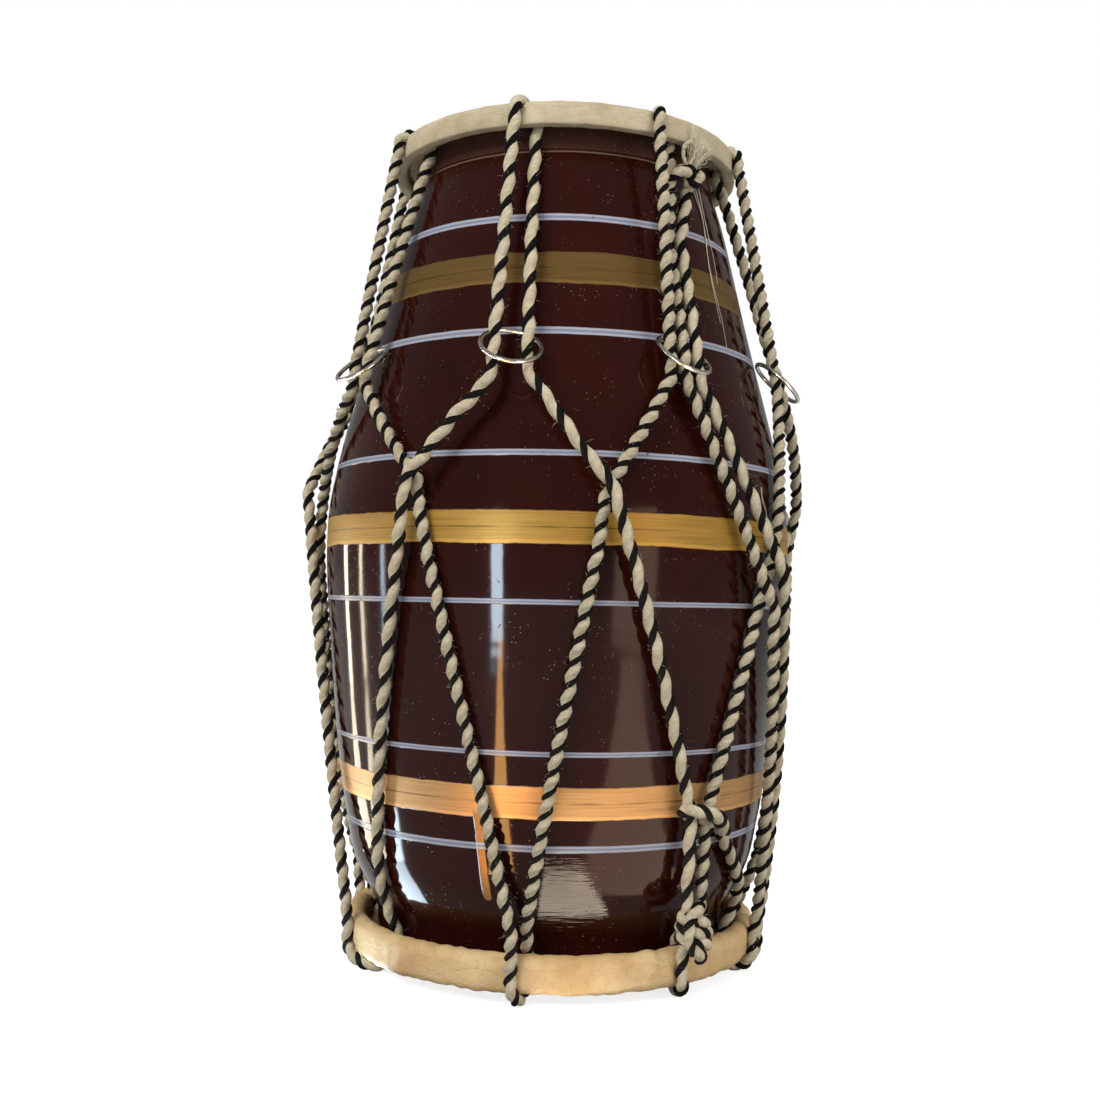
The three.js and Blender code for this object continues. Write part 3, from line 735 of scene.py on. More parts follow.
def stray_fibres(paths, count, rng):
    """Short curved cotton fibres that stand out of the ropes, as paths and root radii."""
    place = np.vstack(paths)
    tangent, side, rise = (np.vstack(parts) for parts in zip(*map(frames_along, paths)))
    at = rng.integers(0, len(place), count)
    turn = rng.uniform(0, math.tau, (count, 1))
    outward = side[at] * np.cos(turn) + rise[at] * np.sin(turn)
    start = outward * rng.uniform(*FIBRE_OUTWARD, (count, 1))
    start = unit(start + tangent[at] * rng.uniform(*FIBRE_ALONG, (count, 1)))
    bend = rng.normal(0, FIBRE_BEND, (count, 3))
    length = rng.uniform(*FIBRE_LENGTHS, (count, 1))
    root = place[at] + outward * ROPE_RADIUS * FIBRE_ROOT
    steps = np.linspace(0, 1, FIBRE_POINTS)
    points = np.stack([root + (start * share + bend * share**2) * length for share in steps], axis=1)
    points[..., 2] = points[..., 2].clip(FLOOR_LIFT)
    return points, rng.uniform(*FIBRE_RADII, count)


def push_clear(mesh, paths, reach):
    """Moves a hide's surface out of the way of the ropes that press into it."""
    points = [Vector(p) * MM for path in paths for p in path]
    tree = KDTree(len(points))
    for k, point in enumerate(points):
        tree.insert(point, k)
    tree.balance()
    for vertex in mesh.vertices:
        near, _, distance = tree.find(vertex.co)
        if 0 < distance < reach * MM:
            vertex.co = near + (vertex.co - near) * (reach * MM / distance)


def hide_profile(roll, mouth, up):
    """A flat membrane over the mouth, a web out to the hoop and a lap round it, open at a slit."""
    a, hide, straight = roll.half_width, roll.hide, roll.straight
    top, under = mouth + up * (CLEARANCE + roll.membrane), mouth + up * CLEARANCE
    edge = roll.mouth_radius - MOUTH_ROUNDING / 2
    web_top = roll.height + up * straight
    lip = web_top - up * (hide + LAP_SLIT)

    def lap(size, start, end, level):
        """Half a turn of hide, its outer quarter drawn out towards a square corner."""
        rows = []
        for x, y in arc(0, 0, 1, up * start, up * end, LAP_STEPS):
            power = roll.squareness if x > 0 and size == a else 1
            spread = [math.copysign(abs(part) ** power, part) * size for part in (x, y)]
            rise = roll.rise * up * (size == a) * (x > 0 if y * up > 0 else ROLL_DROP_SHARE) * abs(y)
            rows.append((roll.radius + spread[0], roll.height + up * level + spread[1] + rise))
        return rows

    membrane = [(edge * k / MEMBRANE_STEPS, top) for k in range(MEMBRANE_STEPS + 1)]
    return [
        *membrane, (edge + MOUTH_ROUNDING, web_top), *lap(a, 180, 0, straight),
        *[(roll.radius + a, roll.height + up * straight * share) for share in (0.5, 0, -0.5)],
        *lap(a, 0, -180, -straight), (roll.radius - a, lip), (roll.radius - a + hide, lip),
        *lap(a - hide, -180, 0, -straight), *lap(a - hide, 0, 180, straight),
        (roll.radius - a + hide, web_top - up * hide), (roll.mouth_radius + CLEARANCE, web_top - up * hide),
        (roll.mouth_radius + CLEARANCE, mouth - up * MOUTH_ROUNDING),
        (roll.mouth_radius - MOUTH_ROUNDING / 4 + CLEARANCE, under - up * MOUTH_ROUNDING / 4),
        (roll.mouth_radius - MOUTH_ROUNDING, under), *[(r, under) for r, _ in membrane[-2::-1]],
    ]


def crumpled(mesh, roll, amount, folds):
    """Small folds and dents in the outer side of a lapped hide."""
    inner = roll.radius - roll.half_width + roll.hide
    for vertex in mesh.vertices:
        if math.hypot(vertex.co.x, vertex.co.y) / MM < inner:
            continue
        a = math.atan2(vertex.co.x, -vertex.co.y)
        out = vertex.co - Vector((math.sin(a), -math.cos(a), 0)) * roll.radius * MM
        out.z -= roll.height * MM
        if out.length < (roll.half_width - roll.hide / 2) * MM:
            continue
        fold = noise.noise((math.sin(a) * folds, math.cos(a) * folds, vertex.co.z * FOLD_RISE))
        dent = noise.noise(vertex.co * DENT_RATE)
        vertex.co += out.normalized() * MM * (amount * fold + amount / 3 * dent)


def barrel_profile():
    """The barrel's outer side from foot to head, with a turned collar line, then its bore back down."""
    outer = []
    for radius, _, height in rounded([(r, 0, h) for r, h in OUTLINE[1:-1]], OUTLINE_SPACING):
        off_collar = (height - BASE - COLLAR_LEVEL) / COLLAR_WIDTH
        outer.append((float(radius - COLLAR_DEPTH * math.exp(-off_collar**2)), float(height)))
    turns = np.linspace(0, math.pi / 2, ROUNDING_STEPS + 1)
    rounding = [(MOUTH_ROUNDING * (1 - math.sin(t)), MOUTH_ROUNDING * (1 - math.cos(t))) for t in turns]
    (foot_radius, foot), (head_radius, head) = OUTLINE[0], OUTLINE[-1]
    return [
        *[(foot_radius - inset, foot + rise) for inset, rise in rounding],
        *outer,
        *[(head_radius - inset, head - drop) for inset, drop in reversed(rounding)],
        *[(radius - SHELL_WALL, height) for radius, height in OUTLINE[::-3]],
    ]


# Finishes: noise rates are waves per metre, or per millimetre of a ply, and bumps are in metres

def lacquer_finish(paint):
    """Glossy dark lacquer with three gold bands, six pale lines, a run of gold and years of specks."""
    made = Finish("barrel_lacquer")
    place = made.place()
    x, y, z = made.axes(place)
    angle = x.math("ARCTAN2", x, y * -1)
    height = z * (1 / MM) - BASE
    wobble = made.noise(place, 30, 2) - 0.5
    ragged = made.noise(place, 180, 3) - 0.5
    gold_height, line_height = (
        height + wobble * wander + ragged * tear for wander, tear in (GOLD_WANDER, LINE_WANDER)
    )

    def lathed(round_rate, rise_rate, detail):
        """Noise drawn out round the barrel."""
        return made.noise(made.vector(angle * round_rate, 0, z * rise_rate), 1, detail)

    grain = made.noise(made.stretched(place, (55, 55, 7)), 1, 5)
    neck = height.level(COLLAR_LEVEL, COLLAR_LEVEL + 1)
    sparse = made.noise(place, 60, 2).level(0.5, 0.62)
    dust = made.spots(place, 420, 0.17) * sparse.larger(neck)
    surface = made.mix(made.noise(place, 14, 3), paint.lacquer_dark, paint.lacquer_light)
    for share, tone in (
        (grain.level(0.56, 0.75) * 0.35, colour(22, 6, 5)),
        (neck * 0.6, colour(86, 58, 50)),
        # A painted highlight where the ridge under the collar catches the light
        (line_height.stripe(*COLLAR_RIDGE_HIGHLIGHT, 0.25) * 0.5, colour(150, 122, 104)),
        (dust * 0.6, colour(168, 146, 132)),
    ):
        surface = made.mix(share, surface, tone)

    turning = lathed(3, 1500, 3)
    scratched = lathed(2.5, 40, 3).level(0.42, 0.55)
    gold = []
    for (low, high), tone in zip(GOLD_BANDS, (paint.gold_top, paint.gold_middle, paint.gold_bottom)):
        shade, glint = ([part * share for part in tone] for share in (0.7, 1.5))
        painted = made.mix(turning.level(0.3, 0.6), shade, tone)
        painted = made.mix(gold_height.stripe(low, low + GOLD_EDGE, 0.5) * 0.6, painted, glint)
        groove = (low + high) / 2
        line = line_height.stripe(groove - GROOVE_HALF, groove + GROOVE_HALF, 0.2) * scratched
        painted = made.mix(line * 0.75, painted, colour(60, 38, 14))
        gold.append(gold_height.stripe(low, high, 0.25))
        surface = made.mix(gold[-1], surface, painted)

    run_middle = height.level(RUN_LOW, RUN_HIGH) * (RUN_ANGLES[1] - RUN_ANGLES[0]) + RUN_ANGLES[0]
    run_off = abs(angle - run_middle) * RUN_RADIUS + ragged * 0.7
    run_end = (RUN_LOW + RUN_HALF - height).larger(0)
    run_reach = x.math("SQRT", run_off * run_off + run_end * run_end)
    run = run_reach.fade(RUN_HALF - 0.4, RUN_HALF + 0.2) * height.fade(RUN_HIGH, RUN_HIGH + 2)
    surface = made.mix(run, surface, made.mix(turning, colour(112, 80, 44), colour(156, 116, 68)))

    worn = made.noise(place, 300, 2).level(0.2, 0.3)
    lines = []
    for middle, width in LINES:
        core = line_height.stripe(middle - width / 6, middle + width / 6, 0.25)
        lines.append(line_height.stripe(middle - width / 2, middle + width / 2, 0.2))
        tone = made.mix(core * 0.85, paint.line_edge, paint.line_core)
        surface = made.mix(lines[-1] * worn, surface, tone)

    gold_mask, line_mask = reduce(Wire.larger, [*gold, run]), reduce(Wire.larger, lines)
    smear = made.noise(made.stretched(place, (12, 12, 5)), 1, 4).level(0.4, 0.75)
    rough = smear * 0.1 + dust * 0.4 + neck * 0.25 + 0.055
    rough = rough + gold_mask * (turning * 0.18 + 0.26) + line_mask * 0.2
    made.set(Base_Color=surface, Roughness=rough, Metallic=gold_mask * 0.25, IOR=1.25)
    waves = made.noise(made.stretched(place, (16, 16, 40)), 1, 2)
    ridged = abs(angle - RIDGED_ANGLE).fade(RIDGED_HALF / 2, RIDGED_HALF) * height.fade(*RIDGED_TOP)
    made.bump(
        gold_mask * 0.35 + line_mask * 0.3 + run * 0.5 + waves * 0.6 + lathed(5, 700, 2) * ridged * 0.6
        + turning * gold_mask * 0.15 + grain * 0.05 + dust * 0.4, 0.0004,
    )
    return made.material


def hide_finish(name, pale, dark, stain, mottle_rate):
    """Raw hide: mottled, with stains, veins and short hairs."""
    made = Finish(name)
    place = made.place()
    cloud = made.noise(place, mottle_rate, 5, 0.6)
    fine = made.noise(place, mottle_rate * 9, 4)
    stains = made.noise(place, mottle_rate * 0.6, 3).level(0.56, 0.72)
    vein = abs(made.noise(made.stretched(place, (1, 1, 2.5)), mottle_rate * 2.2, 3) - 0.5)
    veins = vein.fade(0.0, 0.035)
    hairs = made.noise(made.stretched(place, (1, 1, 0.3)), mottle_rate * 40, 2).level(0.66, 0.7)
    body = made.mix(cloud.level(0.32, 0.7), pale, dark)
    for share in (stains * 0.55, veins * 0.08, hairs * 0.4):
        body = made.mix(share, body, stain)
    made.set(Base_Color=body, Roughness=fine * 0.2 + 0.5, Specular_IOR_Level=0.2)
    made.bump(cloud * 0.8 + fine * 0.35 - veins * 0.25, 0.0008, 0.8)
    return made.material


def ply_finish(name, low, high, shine):
    """Twisted cotton: fine paler fibres that run along the ply, and painted shade in the darker streaks
    between the yarns.
    """
    made = Finish(name)
    along, across, _ = made.axes(made.node("ShaderNodeTexCoord", output="UV"))
    slanted = made.vector(along * 0.35 + across * 0.25, across * 1.9 - along * 0.5, 0)
    fibre = made.noise(slanted, 2.4, 5, 0.75)
    clump = made.noise(made.vector(along * 0.22, across * 0.3, 0), 1, 3)
    share = (fibre * 0.75 + clump * 0.25).level(0.36, 0.62)
    # The darker tone is painted shade between the yarns, the paler one the fibres
    made.set(Base_Color=made.mix(share, low, high), Roughness=0.95 - share * shine, Specular_IOR_Level=0.1)
    made.bump(fibre + clump * 0.5, 0.0009, 0.9)
    return made.material


def cotton_finishes():
    """The finishes of the cream ply and the black one, made once."""
    tones = {
        # Each ply: the darker tone of its painted shade between the yarns, its paler fibres and its shine
        "cream_cotton": (colour(172, 150, 114), colour(250, 238, 208), 0.15),
        "black_cotton": (colour(5, 5, 5), colour(30, 29, 29), 0.1),
    }
    return [bpy.data.materials.get(name) or ply_finish(name, *look) for name, look in tones.items()]


def fibre_finish():
    """Loose pale cotton, a little greyer here and there."""
    made = Finish("loose_cotton")
    cloud = made.noise(made.place(), 400, 2)
    made.set(Base_Color=made.mix(cloud, colour(196, 184, 158), colour(238, 228, 204)), Roughness=0.95)
    return made.material


def steel_finish():
    """Bright plated wire, dulled and yellowed in places."""
    made = Finish("ring_steel")
    place = made.place()
    dull = made.noise(place, 220, 4).level(0.5, 0.7)
    tone = made.mix(dull, colour(214, 212, 205), colour(150, 132, 100))
    made.set(Base_Color=tone, Metallic=1.0, Roughness=dull * 0.3 + 0.16)
    made.bump(made.noise(place, 900, 2), 0.0001, 0.5)
    return made.material


def cast_finish(name, low, high, metal, rate):
    """Iron or clay, rough and clouded."""
    made = Finish(name)
    cloud = made.noise(made.place(), rate, 5)
    made.set(Base_Color=made.mix(cloud, low, high), Metallic=metal, Roughness=cloud * 0.3 + 0.55)
    made.bump(cloud, 0.0006, 0.7)
    return made.material


# Sizes and colours a user would change

def paint_property(name, description, *parts):
    """A colour that starts as 0 to 255 each of red, green and blue."""
    return FloatVectorProperty(
        name=name, description=description, size=3, default=colour(*parts), subtype="COLOR",
    )


class DrumRope(bpy.types.PropertyGroup):
    """Sizes of the lacing rope."""

    cream_radius: FloatProperty(name="Cream ply radius", description="Radius of the fat cream ply",
                                default=0.0028, unit="LENGTH")
    black_radius: FloatProperty(name="Black ply radius", description="Radius of the thin black ply",
                                default=0.0021, unit="LENGTH")
    unevenness: FloatProperty(name="Unevenness", description="How much the rope's thickness varies",
                              default=0.05, subtype="FACTOR")
    fibres: IntProperty(name="Stray fibres", description="How many cotton fibres stand out of the rope",
                        default=5200)


class DrumPaint(bpy.types.PropertyGroup):
    """Colours of the barrel."""

    lacquer_dark: paint_property("Dark lacquer", "Lacquer where it is darkest", 30, 8, 5)
    lacquer_light: paint_property("Light lacquer", "Lacquer where it is lightest", 54, 17, 11)
    gold_top: paint_property("Upper gold", "The dull gold of the upper band", 108, 82, 42)
    gold_middle: paint_property("Middle gold", "The gold of the middle band", 164, 126, 56)
    gold_bottom: paint_property("Lower gold", "The bright gold of the lower band", 180, 138, 88)
    line_edge: paint_property("Line edge", "The pale edges of the thin lines", 160, 161, 173)
    line_core: paint_property("Line core", "The greyer middle of the thin lines", 112, 116, 132)


def rope_stations():
    """The two ropes, each as (nodes it stands for, stations with their pitch)."""
    left = [laid(points, pitch) for points, (pitch, _) in zip(lefts, PITCHES)]
    right = [laid(points, pitch) for points, (_, pitch) in zip(rights, PITCHES)]

    def over(k):
        ends = [angle_of(lefts[k][-1]), angle_of(rights[k][-1])]
        if ends[1] < ends[0]:
            ends[1] += FULL_TURN
        return left[k] + laid(treble_turn(*ends), sum(PITCHES[k]) / 2) + right[k][::-1]

    def under(outer, inner):
        return laid(bass_turn(outer, inner), TURN_PITCH)

    first = laid(start_strand[::-1], START_PITCH) + under(start_strand[0], lefts[4][0])
    for k in (4, 6, 0):
        first += over(k) + under(rights[k][0], lefts[(k + 2) % PAIRS][0])
    first += over(2) + under(rights[2][0], inner_leg(RETURN_FOOT[1])[0]) + laid(tail, TURN_PITCH)

    inner = inner_leg(KNOT_STRAND_ANGLES[1])
    second = laid(inner[::-1], TURN_PITCH) + under(rights[1][0], inner[0])[::-1]
    for k, arriving in ((1, 7), (7, 5), (5, 3)):
        second += over(k)[::-1] + under(rights[arriving][0], lefts[k][0])[::-1]
    second += over(3)[::-1][:-2]

    def nodes(runs, turns):
        return [*(f"lacing_{k}" for k in runs), *(f"bass_turn_{k}" for k in turns)]

    return {
        "rope_1": (nodes((9, 5, 7, 1, 3, "tail"), (4, 6, 8, 2, 9)), first),
        "rope_2": (nodes((2, 8, 6, 4), (3, 1, 7, 5)), second),
    }


# Each rope's nodes, path and pitch
ropes = {
    name: (nodes, *rope_path(stations, ROPE_STEP)) for name, (nodes, stations) in rope_stations().items()
}
rope_lines = [path for _, path, _ in ropes.values()]


def between(strands, level):
    """Middle angle and radius of the strands that a knot ties, at its level."""
    places = [
        [np.interp(BASE + level, [p.z for p in points], [value(p) for p in points]) for points in strands]
        for value in (angle_of, lambda p: math.hypot(p.x, p.y))
    ]
    return [sum(values) / len(values) for values in places]


def on_drum(knot, route):
    """A route of (across, up, out) from a knot's middle, wrapped round the drum."""
    strands, level = knot
    angle, radius = between(strands, level)
    return [
        around(angle + math.degrees(across / radius), radius + out, BASE + level + up)
        for across, up, out in route
    ]


def wound(turns, across, out, top, drop, lean):
    """A route round a pair of strands, from their left side down, drawn in flat behind them."""
    route = []
    for turn in np.linspace(0, math.tau * turns, round(WOUND_STEPS * turns) + 1):
        depth = math.sin(turn) * (1 if math.sin(turn) > 0 else WOUND_BACK)
        up = top + lean * math.cos(turn) - drop * turn / math.tau
        route.append((-across * math.cos(turn), up, out * depth))
    return route


# Each knot: the strands it ties and its level. Each of its ropes: the nodes it stands for, its knot, its
# route, its pitch, its girth and which ply's finish each of its two plies has.
TREBLE_KNOT = ((rights[2], start_strand), 0.937 * HOOP_SPAN)
BASS_KNOT = ((rights[1], lefts[3]), 0.067 * HOOP_SPAN)
BASS_WRAP = ((rights[1], lefts[3]), WRAP_LEVEL)
HITCH_ROUTE = (
    (5.3, -8, 0), (5.6, -3.5, 3), (2, 1, 6.4), (-4, -0.5, 7), (-9, -4, 3.5), (-9.6, -5, -1), (-4, 0, -2.5),
    (3, 4, -2), (8.6, 5, 1.5), (9.4, 1, 5), (6, -3, 5.8), (1.5, -2.5, 3),
)
EYE_ROUTE = (
    (0.5, 1, 6.4), (-2, 4, 7.4), (-4, 8, 7.8), (-4, 11.6, 8.4), (-1, 14.6, 9), (2.2, 12, 8.8), (2.2, 8, 8),
    (0.2, 4, 7.2), (-0.5, 0, 6),
)
WRAP_ROUTE = (
    (18, -9, 0), (12.6, -4, 3), (7, 0, 6.4), (0, 2.4, 7.6), (-7, 4.2, 5.6), (-9.8, 3.4, 0.5), (-5, 1, -1.8),
    (4, -2, -1.8), (9.4, -3.4, 1.2),
)
BIGHT_ROUTE = (
    (2, 12.6, 3), (-3, 11.4, 7), (-7.6, 7, 8), (-8.6, 0, 8.4), (-6.6, -6.4, 8.6), (-1.6, -9.6, 8.4),
    (2, -13, 4),
)
BASS_ROUTE = wound(turns=2.6, across=7, out=7.2, top=7, drop=5.2, lean=0.9)
BOTH_PLIES, CREAM_PLIES = (0, 1), (0, 0)
KNOT_ROPES = {
    "treble_hitch": (["treble_knot"], TREBLE_KNOT, HITCH_ROUTE, 13, 0.92, BOTH_PLIES),
    "treble_eye": ([], TREBLE_KNOT, EYE_ROUTE, 6, 0.3, CREAM_PLIES),
    "bass_hitch": (["bass_knot"], BASS_KNOT, BASS_ROUTE, 12, 1, BOTH_PLIES),
    "bass_bight": ([], BASS_KNOT, BIGHT_ROUTE, 12, 0.9, BOTH_PLIES),
    "bass_tie": (["bass_wrap"], BASS_WRAP, WRAP_ROUTE, TURN_PITCH, 1, BOTH_PLIES),
}

# Each hide: its roll, its mouth's height, which way it faces, its pale, dark and stained tones, its mottles
# per metre, and the depth of its folds and their number
HIDES = {
    "treble": (treble, TREBLE_MOUTH, 1, ((200, 187, 158), (175, 158, 126), (141, 115, 80)), 42, 0.35, 14),
    "bass": (bass, BASS_MOUTH, -1, ((216, 188, 140), (190, 152, 100), (146, 106, 64)), 34, 0.9, 22),
}


class Build:
    """An operator that builds one group of pieces."""

    bl_options = {"REGISTER", "UNDO"}

    def execute(self, context):
        self.build(context.scene)
        return {"FINISHED"}


class DRUM_OT_stage(Build, bpy.types.Operator):
    """The pale floor, the soft lights and the camera at the photograph's angle"""

    bl_idname = "drum.stage"
    bl_label = "Stage"

    def build(self, scene):
        scene.view_settings.view_transform = "Standard"
        scene.camera = self.camera()
        self.floor()
        self.world(scene)
        for name, place, size, watts in SOFT_LAMPS:
            self.lamp(name, place, size, watts).visible_glossy = False
        for name, place, size, watts, tone, turn in PANES:
            pane = self.lamp(name, place, size, watts)
            pane.data.color = tone
            pane.visible_diffuse = pane.visible_camera = pane.visible_transmission = False
            if turn is not None:
                pane.rotation_euler = (math.pi, 0, math.radians(turn))

    def camera(self):
        lens = bpy.data.cameras.new("camera")
        lens.sensor_width = SENSOR
        lens.lens = FOCAL_PIXELS / IMAGE_PIXELS * SENSOR
        lens.shift_y = (HORIZON_PIXEL - IMAGE_PIXELS / 2) / IMAGE_PIXELS
        lens.clip_start = CAMERA_CLIP * MM
        camera = placed("camera", lens)
        off_axis = (IMAGE_PIXELS / 2 - AXIS_PIXEL) / FOCAL_PIXELS * CAMERA_DISTANCE
        camera.matrix_world = (
            Matrix.Translation(Vector((off_axis, -CAMERA_DISTANCE, BASE + CAMERA_HEIGHT)) * MM)
            @ Matrix.Rotation(math.pi / 2, 4, "X") @ Matrix.Rotation(CAMERA_ROLL, 4, "Z")
        )
        return camera

    def lamp(self, name, place, size, watts):
        lamp = bpy.data.lights.new(name, "AREA")
        lamp.shape, lamp.size, lamp.size_y, lamp.energy = "RECTANGLE", *size, watts
        holder = placed(name, lamp)
        holder.location = place
        holder.rotation_euler = (LAMP_AIM - Vector(place)).to_track_quat("-Z", "Y").to_euler()
        return holder

    def floor(self):
        """A floor that glows for the camera and a little in mirrored rays, and is only lit for the rest."""
        bm = bmesh.new()
        bmesh.ops.create_grid(bm, x_segments=1, y_segments=1, size=FLOOR_HALF)
        mesh = drawn(bm, "floor")
        made = Finish("floor")
        made.set(Base_Color=(FLOOR_TONE, FLOOR_TONE, FLOOR_TONE), Roughness=0.9)
        plain = Wire(made, made.shader.outputs[0])
        seen = made.node("ShaderNodeLightPath", output="Is Camera Ray")
        mirrored = Wire(made, seen.socket.node.outputs["Is Glossy Ray"])
        glow = made.node("ShaderNodeEmission", inputs={"Color": (1, 1, 1), "Strength": FLOOR_GLOW})
        lit = made.node("ShaderNodeAddShader", inputs={0: glow, 1: plain})
        share = seen.larger(mirrored * GLOSS_BACKDROP)
        both = made.node("ShaderNodeMixShader", inputs={0: share, 1: plain, 2: lit})
        made.join(made.tree.nodes["Material Output"].inputs["Surface"], both)
        mesh.materials.append(made.material)
        placed("floor", mesh)

    def world(self, scene):
        """A grey room that is white to the camera and darker in mirrored rays."""
        world = bpy.data.worlds.new("studio")
        world.use_nodes = True
        scene.world = world
        nodes, links = world.node_tree.nodes, world.node_tree.links
        path = nodes.new("ShaderNodeLightPath")
        socket = nodes["Background"].inputs["Color"]
        for rays, level in (("Is Camera Ray", 1), ("Is Glossy Ray", GLOSS_STUDIO)):
            mixed = nodes.new("ShaderNodeMix")
            mixed.data_type = "RGBA"
            mixed.inputs[7].default_value = (level, level, level, 1)
            links.new(path.outputs[rays], mixed.inputs[0])
            links.new(mixed.outputs[2], socket)
            socket = mixed.inputs[6]
        socket.default_value = (STUDIO_LEVEL, STUDIO_LEVEL, STUDIO_LEVEL, 1)


class DRUM_OT_barrel(Build, bpy.types.Operator):
    """The turned barrel with its lacquer, gold bands and pale lines"""

    bl_idname = "drum.barrel"
    bl_label = "Barrel"

    def build(self, scene):
        mesh = turned("barrel", barrel_profile(), BARREL_STEPS)
        add_piece("barrel", mesh, [lacquer_finish(scene.drum_paint)], "drum", ["shell"])


class DRUM_OT_heads(Build, bpy.types.Operator):
    """The two hides, lapped round their hoops and pressed in by the rope"""

    bl_idname = "drum.heads"
    bl_label = "Heads"

    def build(self, scene):
        for which, (roll, mouth, up, tones, mottle_rate, amount, folds) in HIDES.items():
            finish = hide_finish(f"{which}_hide", *(colour(*tone) for tone in tones), mottle_rate)
            mesh = turned(f"{which}_head", hide_profile(roll, mouth, up), HEAD_STEPS)
            crumpled(mesh, roll, amount, folds)
            push_clear(mesh, rope_lines, ROPE_RADIUS * LACING_GIRTH)
            add_piece(f"{which}_head", mesh, [finish], "drum", [f"{which}_skin"])


class DRUM_OT_rings(Build, bpy.types.Operator):
    """The tension rings, each where its solid is and on its own body"""

    bl_idname = "drum.rings"
    bl_label = "Tension rings"

    def build(self, scene):
        finish = steel_finish()
        for k in range(1, PAIRS + 1):
            name, node = f"ring_{k}", f"tension_ring_{k}"
            corners = np.array([v.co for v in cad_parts[node].data.vertices])
            corners = np.unique(corners.round(6), axis=0)
            centre = corners.mean(axis=0)
            first, second, _ = np.linalg.svd(corners - centre)[2]
            turn = Matrix([first, second, np.cross(first, second)]).transposed().to_4x4()
            bm = bmesh.new()
            bmesh.ops.create_circle(bm, segments=RING_WIRE_SIDES, radius=RING_WIRE / 2 * MM)
            bmesh.ops.rotate(bm, verts=bm.verts, cent=(0, 0, 0), matrix=Matrix.Rotation(math.pi / 2, 3, "X"))
            bmesh.ops.translate(bm, verts=bm.verts, vec=(RING_RADIUS * MM, 0, 0))
            spin(bm, RING_STEPS)
            bmesh.ops.transform(bm, verts=bm.verts, matrix=Matrix.Translation(Vector(centre)) @ turn)
            add_piece(name, drawn(bm, name), [finish], name, [node])


class DRUM_OT_lacing(Build, bpy.types.Operator):
    """The two ropes of twisted cotton"""

    bl_idname = "drum.lacing"
    bl_label = "Lacing"

    def build(self, scene):
        for seed, (name, (nodes, path, pitch)) in enumerate(ropes.items()):
            mesh = rope_mesh(name, path, pitch, scene.drum_rope, seed, LACING_GIRTH)
            add_piece(name, mesh, cotton_finishes(), "drum", nodes)


class DRUM_OT_knots(Build, bpy.types.Operator):
    """The hitch and its eye at the treble hoop, the tie above the bass hoop and the knot on it"""

    bl_idname = "drum.knots"
    bl_label = "Knots"

    def build(self, scene):
        finishes = cotton_finishes()
        numbered = enumerate(KNOT_ROPES.items(), len(ropes))
        for seed, (name, (nodes, knot, route, pitch, girth, plies)) in numbered:
            path = rope_path(laid(on_drum(knot, route), pitch), ROPE_STEP / 2)
            mesh = rope_mesh(name, *path, scene.drum_rope, seed, girth)
            add_piece(name, mesh, [finishes[ply] for ply in plies], "drum", nodes)


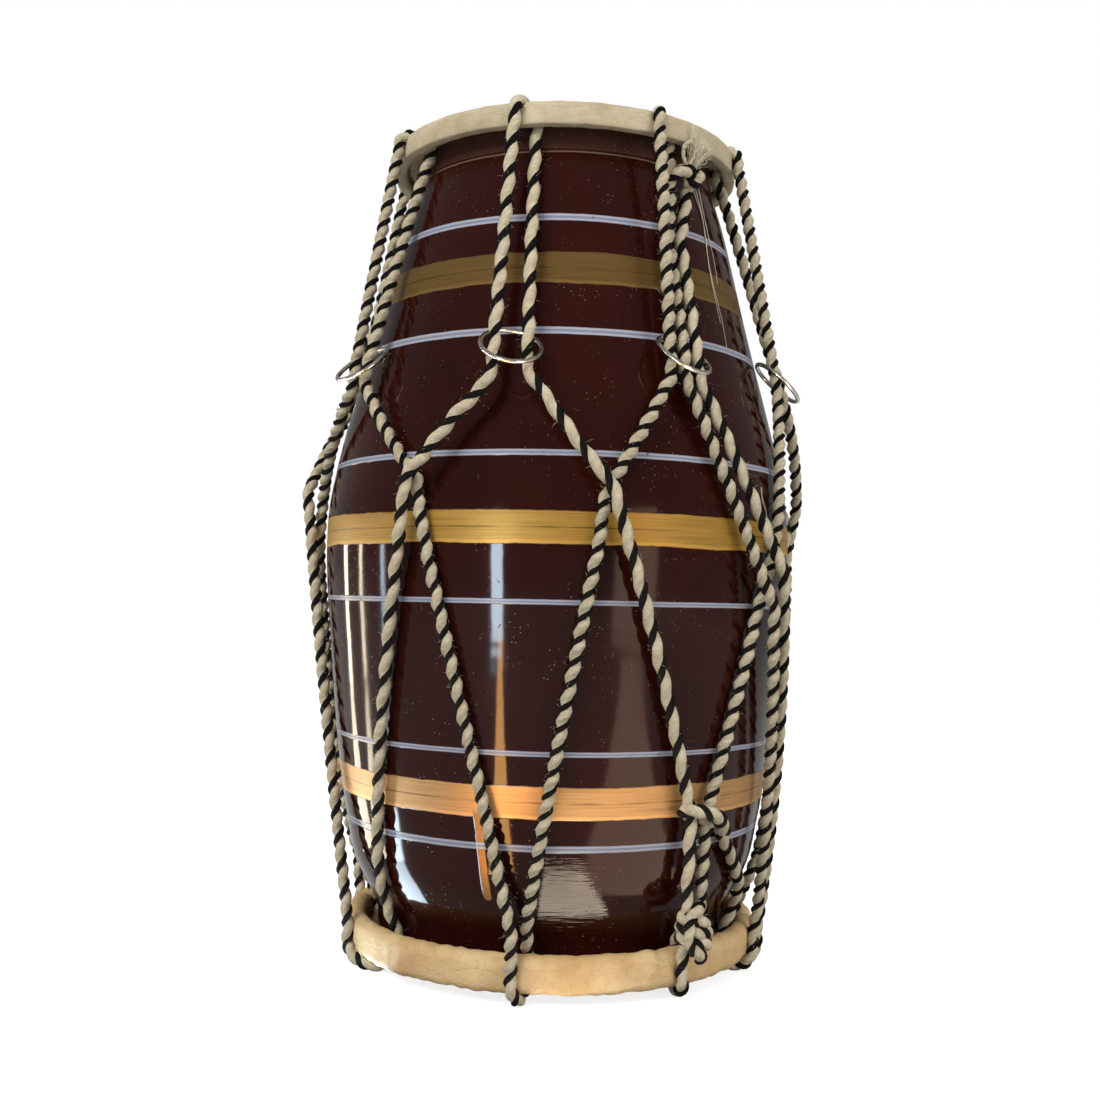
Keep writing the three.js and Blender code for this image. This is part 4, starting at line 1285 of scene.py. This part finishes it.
class DRUM_OT_fibres(Build, bpy.types.Operator):
    """Stray cotton fibres, the frayed end of the rope and loose strings"""

    bl_idname = "drum.fibres"
    bl_label = "Fibres and strings"

    def build(self, scene):
        rng = np.random.default_rng(FIBRE_SEED)
        finish = fibre_finish()
        loose = {
            "stray_fibres": stray_fibres(rope_lines, scene.drum_rope.fibres, rng),
            "frayed_end": self.frayed_end(rng),
            "strings": self.strings(rng),
        }
        for name, (paths, radii) in loose.items():
            add_piece(name, thread_mesh(name, paths, radii), [finish], "drum")

    def frayed_end(self, rng):
        """A tuft that fans out from the treble hitch and lies over the hide's roll."""
        face = treble.radius + treble.half_width - between(*TREBLE_KNOT)[1] + TUFT_LIFT
        threads = []
        for _ in range(TUFT_THREADS):
            across = rng.uniform(*TUFT_SPREAD)
            root = np.array([rng.uniform(*span) for span in TUFT_ROOTS])
            level = TUFT_TOP - TUFT_SLOPE * across + rng.normal(0, TUFT_RAGGED)
            tip = np.array([across, level, face + rng.uniform(0, TUFT_DEPTH)])
            sway = rng.normal(0, TUFT_SWAY, 3)
            middle = (root + tip) / 2 + sway
            middle[2] = max(middle[2], face)
            rising = root * (1 - TUFT_RISING) + middle * TUFT_RISING + TUFT_BULGE
            falling = (middle + tip) / 2 - sway * TUFT_BACK
            route = rounded([root, rising, middle, falling, tip], TUFT_STEP)
            ways = np.linspace(0, len(route) - 1, TUFT_POINTS)
            route = zip(*(np.interp(ways, range(len(route)), column) for column in route.T))
            threads.append([tuple(p) for p in on_drum(TREBLE_KNOT, route)])
        return np.array(threads), rng.uniform(*TUFT_RADII, TUFT_THREADS)

    def strings(self, rng):
        """Strings that hang from the treble hide down the lacquer."""
        shares = np.linspace(0, 1, STRING_POINTS)
        threads = []
        for low, high, (top, bottom), lift in STRINGS:
            angles = top + (bottom - top) * shares
            for wave, sway in enumerate(rng.normal(0, STRING_SWAY, STRING_WAVES), 1):
                angles = angles + sway * np.sin(math.pi * shares * wave)
            heights = BASE + np.linspace(high, low, STRING_POINTS)
            threads.append([
                tuple(around(angle, radius_on(OUTLINE, height) + lift, height))
                for angle, height in zip(angles, heights)
            ])
        return np.array(threads), np.full(len(STRINGS), STRING_RADIUS)


class DRUM_OT_hidden(Build, bpy.types.Operator):
    """Finishes for the hoops and the tuning paste inside the drum"""

    bl_idname = "drum.hidden"
    bl_label = "Hidden parts"

    def build(self, scene):
        iron = cast_finish("hoop_iron", colour(58, 54, 50), colour(98, 84, 70), 0.8, 160)
        clay = cast_finish("tuning_paste", colour(30, 26, 24), colour(62, 54, 48), 0.0, 90)
        for node, finish in (("treble_hoop", iron), ("bass_hoop", iron), ("bass_paste", clay)):
            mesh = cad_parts[node].data
            mesh.materials.clear()
            mesh.materials.append(finish)


OPERATORS = (
    DRUM_OT_stage, DRUM_OT_barrel, DRUM_OT_heads, DRUM_OT_rings, DRUM_OT_lacing, DRUM_OT_knots,
    DRUM_OT_fibres, DRUM_OT_hidden,
)


class DRUM_PT_panel(bpy.types.Panel):
    """Lists the drum's pieces"""

    bl_label = "Dholak"
    bl_idname = "DRUM_PT_panel"
    bl_space_type = "VIEW_3D"
    bl_region_type = "UI"
    bl_category = "Dholak"

    def draw(self, context):
        for made in OPERATORS:
            self.layout.operator(made.bl_idname)


CLASSES = (DrumRope, DrumPaint, *OPERATORS, DRUM_PT_panel)


def register():
    for made in CLASSES:
        bpy.utils.register_class(made)
    bpy.types.Scene.drum_rope = PointerProperty(type=DrumRope)
    bpy.types.Scene.drum_paint = PointerProperty(type=DrumPaint)


def unregister():
    del bpy.types.Scene.drum_paint
    del bpy.types.Scene.drum_rope
    for made in reversed(CLASSES):
        bpy.utils.unregister_class(made)


def main():
    register()
    for made in OPERATORS:
        getattr(bpy.ops.drum, made.bl_idname.split(".")[1])()


if __name__ == "__main__":
    main()
